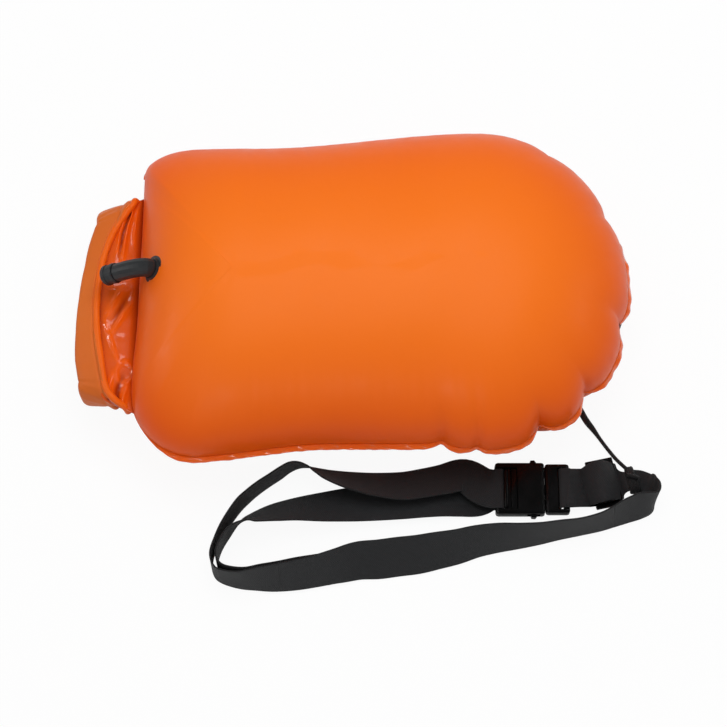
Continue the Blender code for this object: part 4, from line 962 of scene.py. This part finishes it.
def strap(name, rows, steps=8, fixed_side=None, from_sample=0, cup=0.0, keep=slice(None)):
    """A strap from rows of x, y, z, lean in degrees, width and thickness. For each (a, b) of the section,
    point = middle + wide * a * width / 2 + thick * b * thickness / 2. cup hollows its middle, and keep takes
    a part of its rows."""
    samples = spline(rows, steps)
    path = samples[:, :3]
    side, ahead = strap_frames(path, fixed_side, from_sample, steps // 2)
    lean = np.radians(samples[:, 3:4])
    wide = side * np.cos(lean) + np.array([0, 0, 1.0]) * np.sin(lean)
    wide = unit(wide - ahead * np.sum(wide * ahead, -1, keepdims=True))
    a, b = STRAP_SECTION.T
    across = a[None, :] * samples[:, 4:5] / 2
    up = b[None, :] * samples[:, 5:6] / 2 + cup * (a ** 2 - 0.5)
    points = swept(path, wide, np.cross(ahead, wide), across, up)
    return grid_mesh(name, points[keep], flat_map(path, across)[keep], around=True, capped=True)


# %% [markdown]
# ### Roll tabs and their buckle
# Two short tabs of 25 mm webbing leave the bent ends of the roll and loop through the buckle's bars. They
# keep their width across the whole route, so a fixed direction turns the section, and no lean is needed.

# %% Roll tabs
TAB_WIDE, TAB_THICK, LOW = 0.025, 0.0018, ROLL_Z - ROLL_DROP
for end_name, way, edge, mid_way, lift in (("near", -1, 0.034 * 0.085, 0.034 * (0.085 + 0.07), 0.78),
                                           ("far", 1, 0.034 * 0.119, 0.034 * 0.119 + 0.018 * 0.13, 0.92)):
    tip, before = (roll_path[-1], roll_path[-4]) if way < 0 else (roll_path[0], roll_path[3])
    onward = unit(tip - before)
    over = LOW - 0.00475 + 0.0095 * lift + 0.0006 + TAB_THICK / 2
    bar_y = way * 0.026
    flat_path = [tip + onward * 0.0003, tip + onward * 0.00375, tip + onward * 0.010,
                 (-0.261, bar_y + way * 0.00867, LOW + TAB_THICK), (-0.261, bar_y + way * 0.001734, over),
                 (-0.261, bar_y - way * edge * 1.2, over), (-0.261, bar_y - way * mid_way, over - TAB_THICK),
                 (-0.261, bar_y - way * mid_way, LOW + 0.0001425)]
    path = spline(flat_path, 8)
    ahead = tangents(path)
    wide = unit(np.array([1.0, 0, 0]) - ahead * ahead[:, :1])
    a, b = STRAP_SECTION[:, 0] * TAB_WIDE / 2, STRAP_SECTION[:, 1] * TAB_THICK / 2
    points = swept(path, wide, np.cross(ahead, wide), a, b)
    tab = grid_mesh("roll_tab_" + end_name + "_strap", points, flat_map(path, a), around=True, capped=True)
    finish_piece(tab, edge_webbing, "root" if way < 0 else None, ("roll_tab_" + end_name,))
    if way > 0:
        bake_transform(tab)

# %% [markdown]
# ## Belt
# One 38 mm strap makes the loop: from the buckle's bar to the left, round a bend on edge, and back under
# the buckle to the right, where it turns and is gathered into the tether's hitch. Its tail runs inside
# the loop. The rows are the route's shares: along the span, down the depth, height in strap widths where
# it isn't the usual one, and lean. A curve object with a flat profile twists where it turns on edge, so
# the lean is given row by row.

# %% Belt routes
WIDTH, THICK = 0.038, 0.0016
BELT_LEFT, BELT_SPAN, BELT_FAR, BELT_DEPTH, LIFT = -0.162, 0.416, -0.130, 0.128, 0.026
UPPER = [(0.550, 0.008, 0.053, 20), (0.505, 0.047, 27), (0.462, 0.078, 29), (0.418, 0.102, 31),
         (0.361, 0.109, 40), (0.305, 0.102, 50), (0.262, 0.090, 60), (0.238, 0.078, 68), (0.216, 0.066, 75),
         (0.192, 0.070, 81), (0.171, 0.102, 87), (0.1515, 0.152, 90)]
BEND = [(0.127, 0.207, 90), (0.103, 0.266, 91), (0.082, 0.328, 92), (0.060, 0.406, 93), (0.031, 0.547, 92),
        (0.012, 0.664, 90), (0.002, 0.781, 90), (0.007, 0.875, 88), (0.024, 0.930, 85), (0.065, 0.973, 79),
        (0.108, 0.992, 0.080, 69)]
LOWER = [(0.151, 0.996, 0.080, 62), (0.197, 0.984, 0.080, 57), (0.240, 0.961, 0.080, 54),
         (0.284, 0.934, 0.080, 48), (0.329, 0.906, 38), (0.373, 0.902, 32), (0.416, 0.883, 32),
         (0.462, 0.863, 34), (0.505, 0.828, 40), (0.550, 0.789, 47), (0.594, 0.738, 54), (0.639, 0.703, 60),
         (0.683, 0.676, 67), (0.728, 0.645, 73), (0.772, 0.609, 77), (0.817, 0.578, 80), (0.863, 0.545, 78),
         (0.893, 0.515, 74)]
TURN = [LOWER[-1], (0.925, 0.483, 68), (0.955, 0.452, 66)]
TAIL = [(0.585, 0.141, 1), (0.545, 0.152, 6), (0.505, 0.164, 12), (0.462, 0.172, 12), (0.418, 0.184, 12),
        (0.361, 0.203, 15), (0.305, 0.219, 18), (0.240, 0.258, 29), (0.175, 0.305, 42), (0.127, 0.352, 50),
        (0.084, 0.422, 62), (0.060, 0.484, 74), (0.040, 0.585, 88), (0.022, 0.688, 90), (0.014, 0.781, 90),
        (0.019, 0.852, 88), (0.036, 0.902, 85), (0.072, 0.945, 79), (0.110, 0.968, 69), (0.151, 0.976, 62),
        (0.197, 0.965, 57), (0.236, 0.952, 55), (0.262, 0.945, 53)]


def belt_rows(shares):
    """Strap rows from shares: the lower edge is placed, and the middle is half a width from it, sideways by
    the lean's cosine and upwards by its sine."""
    s = np.array([(*row[:2], row[2] if len(row) == 4 else LIFT, row[-1]) for row in shares])
    place = np.stack([BELT_LEFT + s[:, 0] * BELT_SPAN, BELT_FAR - s[:, 1] * BELT_DEPTH], -1)
    ahead = unit(np.vstack([place[1:], place[-1:]]) - np.vstack([place[:1], place[:-1]]))
    lean = np.radians(s[:, 3])
    reach = (np.cos(lean) * WIDTH / 2)[:, None]
    middle = place + np.stack([-ahead[:, 1], ahead[:, 0]], -1) * reach
    height = s[:, 2] * WIDTH + np.sin(lean) * WIDTH / 2
    size = np.tile([WIDTH, THICK], (len(s), 1))
    return np.column_stack([middle, height, s[:, 3], size]).tolist()

# %% [markdown]
# ### Main loop and tail
# The webbing passes over the buckle's bar, and all of the loop could be one mesh. It is two, which meet on
# one shared ring: the upper strand and left bend stay still, and the lower strand is not attached to any
# body. The tail is a strap of its own below the bar.

# %% Main loop
BUCKLE_X, BUCKLE_Y, BUCKLE_Z, BUCKLE_THICK, FEMALE, MALE = 0.100, -0.1615, 0.0062, 0.012, 0.046, 0.023
BAR, SLOT, GAP = FEMALE * 0.085, FEMALE * 0.14, 0.0003
BUCKLE_LOW = BUCKLE_Z - BUCKLE_THICK / 2
over = BUCKLE_LOW + BUCKLE_THICK * 0.78 + GAP * 2 + THICK / 2
under = BUCKLE_LOW + BUCKLE_THICK * 0.25 - GAP - THICK / 2
middle = BUCKLE_LOW + BUCKLE_THICK * 0.515
turn_x = BUCKLE_X + BAR + SLOT / 2


def buckle_row(x, height, sideways=0.0, lean=0):
    """A full-width strap row on the buckle's own line."""
    return (x, BUCKLE_Y + sideways, height, lean, WIDTH, THICK)


first = [buckle_row(turn_x, middle + GAP), buckle_row(turn_x, over - THICK),
         buckle_row(BUCKLE_X + BAR * 1.25, over), buckle_row(BUCKLE_X - BAR, over),
         buckle_row(BUCKLE_X - BAR * 3.4, over * 0.80, THICK * 2.4, 8)]
loop_rows = first + belt_rows(UPPER + BEND + LOWER)
first_lower = len(first + UPPER + BEND)
parting = 8 * first_lower
belt_loop = strap("belt_loop_strap", loop_rows, keep=slice(0, parting + 1))
finish_piece(belt_loop, webbing, "root", ("belt_upper_strand", "belt_left_bend"))
belt_lower = strap("belt_lower_strap", loop_rows, keep=slice(parting, None))
finish_piece(belt_lower, webbing, None, ("belt_lower_strand",))
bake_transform(belt_lower)
tail_rows = [buckle_row(turn_x, middle - GAP), buckle_row(turn_x, under + THICK),
             buckle_row(BUCKLE_X + BAR * 1.25, under), buckle_row(BUCKLE_X - BAR * 1.6, under)]
belt_tail = strap("belt_tail_strap", tail_rows + belt_rows(TAIL))
finish_piece(belt_tail, webbing, "root", ("belt_tail",))

# %% [markdown]
# ### The strap's end
# Behind the buckle's male half the strap humps over the middle bar of the adjuster, is gathered to half
# its width in the hitch of cord, and opens again into the turn that comes back along the floor. Gathered
# webbing folds many times over; one thicker, narrower section reads the same under the cord's turns.

# %% Strap end
HEADING = math.radians(12)
STRAP_START = np.array([BUCKLE_X + FEMALE + MALE + 0.002, BUCKLE_Y])
strap_ahead = np.array([math.cos(HEADING), math.sin(HEADING)])
strap_left = np.array([-math.sin(HEADING), math.cos(HEADING)])
HITCH, HITCH_LONG, HITCH_HIGH, HITCH_ACROSS = 0.0570, 0.0120, 0.0084, -0.0035
BUNCH_WIDE, BUNCH_THICK = 0.0195, 0.0044


def strap_row(along, across, height, lean=0, width=WIDTH, thickness=THICK):
    """A row placed along and across the strap's own heading."""
    return (*(STRAP_START + strap_ahead * along + strap_left * across), height, lean, width, thickness)


def hitch_row(shift, lean, width, thickness):
    """A row of the gathered strap inside the hitch."""
    return strap_row(HITCH + shift, HITCH_ACROSS, HITCH_HIGH, lean, width, thickness)


male_end = BUCKLE_X + FEMALE + MALE
slot_x = male_end - BAR * 1.4 - MALE * 0.13
low = THICK / 2 + GAP * 3
top = BUCKLE_Z + BUCKLE_THICK * 0.42 + GAP + THICK / 2
GLIDE, GLIDE_LONG, GLIDE_THICK = 0.0315, 0.026, 0.0034
crest = low + THICK + GLIDE_THICK + GAP * 3
third = GLIDE_LONG / 3
inner_rows = [strap_row(GLIDE - GAP / 2, 0, crest), strap_row(GLIDE - third * 0.55, 0, crest),
              strap_row(GLIDE - third * 0.93, 0, low), strap_row(GLIDE - third * 1.6, 0, low),
              strap_row(GLIDE - third * 2.1, 0, low + THICK), buckle_row(male_end + BAR * 0.5, top + GAP),
              buckle_row(male_end - BAR * 0.8, top + GAP), buckle_row(slot_x, top - THICK),
              buckle_row(slot_x, BUCKLE_Z)]
outer_rows = [hitch_row(-GAP, 10, BUNCH_WIDE, BUNCH_THICK),
              hitch_row(-HITCH_LONG * 0.50, 10, BUNCH_WIDE, BUNCH_THICK * 0.9),
              strap_row(HITCH - HITCH_LONG * 0.80, HITCH_ACROSS * 0.6, HITCH_HIGH * 0.6, 6, WIDTH * 0.66,
                        THICK * 1.6),
              strap_row(GLIDE + third * 1.55, 0, low, 0, WIDTH * 0.96),
              strap_row(GLIDE + third * 0.93, 0, low), strap_row(GLIDE + third * 0.55, 0, crest),
              strap_row(GLIDE + GAP / 2, 0, crest)]
near_side = np.array([strap_ahead[1], -strap_ahead[0], 0.0])
turn_rows = belt_rows(TURN) + [
    (0.2425, -0.1772, 0.0192, 74, WIDTH, THICK), (0.2474, -0.1735, 0.0192, 88, WIDTH, THICK),
    (0.2480, -0.1685, 0.0185, 99, WIDTH * 0.96, THICK), (0.2450, -0.1642, 0.0160, 118, WIDTH * 0.84, THICK),
    (0.2405, -0.1602, 0.0120, 148, WIDTH * 0.66, THICK * 1.5),
    strap_row(HITCH + HITCH_LONG * 0.62, HITCH_ACROSS * 1.5, HITCH_HIGH, 182, BUNCH_WIDE, BUNCH_THICK * 0.9),
    hitch_row(HITCH_LONG * 0.30, 190, BUNCH_WIDE, BUNCH_THICK), hitch_row(GAP, 190, BUNCH_WIDE, BUNCH_THICK)]

# %% [markdown]
# These rows make three straps. The two at the adjuster are not attached to any body. The turn is one with
# the male half, which it follows in one piece.

# %% Straps of the end
strap_inner = strap("belt_strap_to_buckle", inner_rows)
strap_outer = strap("belt_strap_to_hitch", outer_rows, fixed_side=near_side)
end_turn = strap("belt_end_turn_strap", turn_rows, fixed_side=near_side, from_sample=len(turn_rows) * 2 - 5)
finish_piece(strap_inner, webbing, None, ("belt_strap_inner",))
finish_piece(strap_outer, webbing, None, ("belt_strap_outer",))
finish_piece(end_turn, webbing, "waist_male", ("belt_end_turn",))
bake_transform(strap_inner)
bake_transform(strap_outer)

# %% [markdown]
# ### Fold over the adjuster
# The strap bulges over the adjuster's bar. The bulge could be lifted out of the strap's own rows, but the
# adjuster slides, so the hump is a short strap that rides with it, and a thin black floor under the slots is
# painted shade that keeps the pale ground from showing through them.

# %% Fold over the adjuster
HUMP_BACK, HUMP_REACH, HUMP_LOW, HUMP_RISE = 0.0032, 0.0182, 0.0018, 0.0145
hump_rows = []
for along in np.linspace(-0.999, 0.999, 13):
    bell = math.cos(math.pi / 2 * along)
    place, height = GLIDE - HUMP_BACK + HUMP_REACH * along, HUMP_LOW + HUMP_RISE * bell ** 1.1
    hump_rows.append(strap_row(place, 0, height, 0, WIDTH * (0.92 + 0.14 * bell)))
hump_fold = strap("belt_fold_over_adjuster", hump_rows, cup=-0.0009)
finish_piece(hump_fold, webbing, "adjuster", ())
# Painted shade: a thin black sheet under the adjuster's slots keeps them dark.
slot_rows = [strap_row(GLIDE + along, 0, 0.0040, 0, 0.0440, 0.0014)
             for along in np.linspace(-0.0102, 0.0102, 5)]
finish_piece(strap("adjuster_slot_floor", slot_rows), acetal, "adjuster", ())

# %% [markdown]
# ### Hitch of the tether
# The cord goes three times round the gathered webbing and once across its own turns. The turns are the
# ring knot's helix again, stretched to an oval, and the crossing strand is one short bowed tube.

# %% Hitch of the tether
HITCH_CORD, LOCK_CORD, HITCH_TILT = 0.0019, 0.0021, 10
hitch_middle = np.array([*(STRAP_START + strap_ahead * HITCH + strap_left * HITCH_ACROSS), HITCH_HIGH])
hitch_axis = np.array([*strap_ahead, 0.0])
tilt = math.radians(HITCH_TILT)
hitch_wide = np.array([*(-strap_left * math.cos(tilt)), math.sin(tilt)])
hitch_up = np.cross(hitch_wide, hitch_axis)
hitch_turns = helix(hitch_middle, hitch_axis, hitch_wide, hitch_up, 3.25, 0.0072,
                    BUNCH_WIDE / 2 + 0.0026, BUNCH_THICK / 2 + 0.0030, 32)
hitch = tube("tether_hitch_turns", hitch_turns, HITCH_CORD)
lock_share = np.linspace(0, 1, 15)
lock_line = (hitch_middle + np.outer((lock_share - 0.5) * 0.0092, hitch_axis)
             + np.outer(np.sin(np.pi * lock_share) * 0.0012 + BUNCH_THICK / 2 + 0.0052, hitch_up)
             + np.outer((lock_share - 0.5) * 0.005, hitch_wide))
lock = tube("tether_hitch_lock", lock_line, LOCK_CORD)
for piece in (hitch, lock):
    finish_piece(piece, braid, "waist_male", ("belt_hitch_knot",))

# %% [markdown]
# ### Shade plates in the waist buckle
# The CAD solids leave the buckle's slots open, and the pale floor would shine through them. Their meshes
# stay as they are, so small black plates, painted shade that keeps the slots dark, and a round bar are set
# in the space behind, each riding with its own half. Their meshes may not be cut or moved, so small plates
# and a round bar are set in the space behind, each riding with its own half.


# %% Shade plates in the waist buckle
def rounded_plate(name, low, high, body):
    """A black moulded plate between two corners, with its edges rounded by 0.6 mm."""
    work = bmesh.new()
    bmesh.ops.create_cube(work, size=1.0)
    middle, size = (np.array(low) + high) / 2, np.array(high) - low
    for v in work.verts:
        v.co = [m + c * s for m, c, s in zip(middle, v.co, size)]
    bmesh.ops.bevel(work, geom=work.edges[:], offset=0.0006, segments=3, profile=0.5, affect="EDGES")
    mesh = bpy.data.meshes.new(name)
    work.to_mesh(mesh)
    work.free()
    mesh.shade_smooth()
    finish_piece(new_object(name, mesh), acetal, body, ())


half_wide = WIDTH / 2 + 0.0006
# Painted shade: black plates behind the slots keep them dark where the floor would show.
for plate_name, x0, x1, z0, z1, body in (
        ("waist_buckle_back", BUCKLE_X + 0.0086, BUCKLE_X + 0.0222, 0.0009, 0.0029, "root"),
        ("waist_buckle_ridge", BUCKLE_X + 0.0150, BUCKLE_X + 0.0205, 0.0026, 0.0104, "root"),
        ("waist_male_back", male_end - 0.0118, male_end - 0.0092, 0.0017, 0.0068, "waist_male")):
    rounded_plate(plate_name, (x0, BUCKLE_Y - half_wide, z0), (x1, BUCKLE_Y + half_wide, z1), body)
BAR_X, BAR_Z = BUCKLE_X + 0.0100, 0.0098
rod_line = np.linspace([BAR_X, BUCKLE_Y - half_wide, BAR_Z], [BAR_X, BUCKLE_Y + half_wide, BAR_Z], 9)
finish_piece(tube("waist_buckle_bar", rod_line, 0.0021, around=24), acetal, "root", ())

# %% [markdown]
# ## Hard pieces
# The buckles, adjuster, valves, ring, tab and patch keep their CAD shapes, which already have the real
# edges and clearances. Each gets its finish by what it is made of in the record, so no list of names is
# needed here.

# %% Finishes of the CAD nodes
finishes = {"black_acetal": acetal, "grey_rubber": rubber, "steel_ring": steel, "black_webbing": edge_webbing,
            "orange_film": weld_film, "liner_film": liner, "black_cord": braid}
for node_name, node in sorted(nodes.items()):
    if node.hide_render:
        continue
    packed = node.material_slots[0].material.name if node.material_slots else "none"
    finish = next((made for key, made in finishes.items() if packed.startswith(key)), None)
    low_corner, high_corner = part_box(node_name)
    corners = [round(v * 1000, 1) for v in (*low_corner, *high_corner)]
    print(node_name, packed, corners, finish and finish.name)
    if finish:
        for slot in node.material_slots:
            slot.material = finish

# %% [markdown]
# ## Floor, light and background
# The buoy lies on a plain pale floor under one large softbox. The floor and the sky look white to the
# camera and to reflections, but add no extra light to the object, and the floor keeps its shadow. A plane
# made to catch only shadows would also do, but it would lose the faint orange glow beside the bag.

# %% Floor
FLOOR_REACH, FLOOR_Z = 4.0, -0.0004
reach = (-FLOOR_REACH, FLOOR_REACH)
ground = grid_mesh("studio_floor", np.array([[(x, y, FLOOR_Z) for y in reach] for x in reach]), flip=True)
paper, paper_shader = new_material("white_paper_floor", Roughness=0.9, Specular_IOR_Level=0.1)
fibres = add_node(paper, "TexNoise", Scale=300.0, Detail=2.0)
feed(paper, paper_shader, Base_Color=ramp(paper, fibres.outputs[0], 0.2, 0.8, "#F4F4F4", "#F7F7F7"))
rays = add_node(paper, "LightPath")
glow = add_node(paper, "Emission", Color=(1, 1, 1, 1), Strength=1.0)
FLOOR_GLOW = 0.93
share = arithmetic(paper, "MULTIPLY", rays.outputs["Is Camera Ray"], FLOOR_GLOW)
both = add_node(paper, "MixShader", {0: share, 1: paper_shader.outputs[0], 2: glow.outputs[0]})
paper.node_tree.links.new(both.outputs[0], paper.node_tree.nodes["Material Output"].inputs["Surface"])
ground.data.materials.append(paper)

# %% [markdown]
# ### Light
# Product photos are lit by a broad soft source from above, which gives the film its even orange. On its
# own it would leave the bag flat, so one panel and five narrow strips are seen only in reflections: they
# draw the bright crown and the thin lines along the film. The sky is white to the camera and dimmer to the
# object. An image of a studio could light it too, but lamps with names can be moved one at a time.

# %% Light
sky = bpy.data.worlds.new("studio_sky")
sky.use_nodes = True
bpy.context.scene.world = sky
backdrop = sky.node_tree.nodes["Background"]
backdrop.inputs["Color"].default_value = (1, 1, 1, 1)
sky_rays = add_node(sky, "LightPath")
sky_way = add_node(sky, "SeparateXYZ", {0: add_node(sky, "TexCoord").outputs["Generated"]})
mirrored = add_node(sky, "MapRange", {0: sky_way.outputs[2]}, From_Min=0.0, From_Max=0.5,
                    To_Min=0.40, To_Max=0.08)
soft = add_node(sky, "Mix", {0: sky_rays.outputs["Is Glossy Ray"], 3: mirrored.outputs[0]},
                data_type="FLOAT")
soft.inputs[2].default_value = 0.52
strength = arithmetic(sky, "MAXIMUM", soft.outputs[0], sky_rays.outputs["Is Camera Ray"])
sky.node_tree.links.new(strength, backdrop.inputs["Strength"])


def softbox(name, place, aim, size, power, long=1.0, diffuse=True, glossy=True):
    """A lamp that faces the point aim; long stretches it along its own X."""
    lamp = bpy.data.lights.new(name, "AREA")
    lamp.shape, lamp.size, lamp.size_y, lamp.energy = "RECTANGLE", size * long, size, power
    thing = new_object(name, lamp)
    away = unit(np.array(place) - np.array(aim))
    thing.location = place
    thing.rotation_euler = (math.acos(away[2]), 0, math.atan2(away[1], away[0]) + math.pi / 2)
    thing.visible_diffuse, thing.visible_glossy = diffuse, glossy
    print(name, power, "W")


softbox("overhead_softbox", (0.05, 0.30, 1.7), (0, 0, 0), 1.1, 15, glossy=False)
softbox("crown_panel", (0.05, 0.95, 1.9), (0, 0, 0.1), 0.30, 1.7, long=2.6, diffuse=False)
for strip_name, place, size, power, long in (
        ("near_strip", (-0.35, -1.35, 1.25), 0.03, 2.2, 20),
        ("left_strip", (-1.3, 0.30, 1.35), 0.03, 1.1, 17),
        ("left_low_strip", (-1.5, 0.0, 0.75), 0.05, 2.6, 10),
        ("left_near_strip", (-0.95, -0.9, 1.4), 0.03, 0.8, 12),
        ("right_strip", (1.4, 0.1, 0.8), 0.03, 0.8, 17)):
    softbox(strip_name, place, (-0.1, 0, 0.08), size, power, long=long, diffuse=False)
bpy.context.scene.view_settings.view_transform = "Standard"
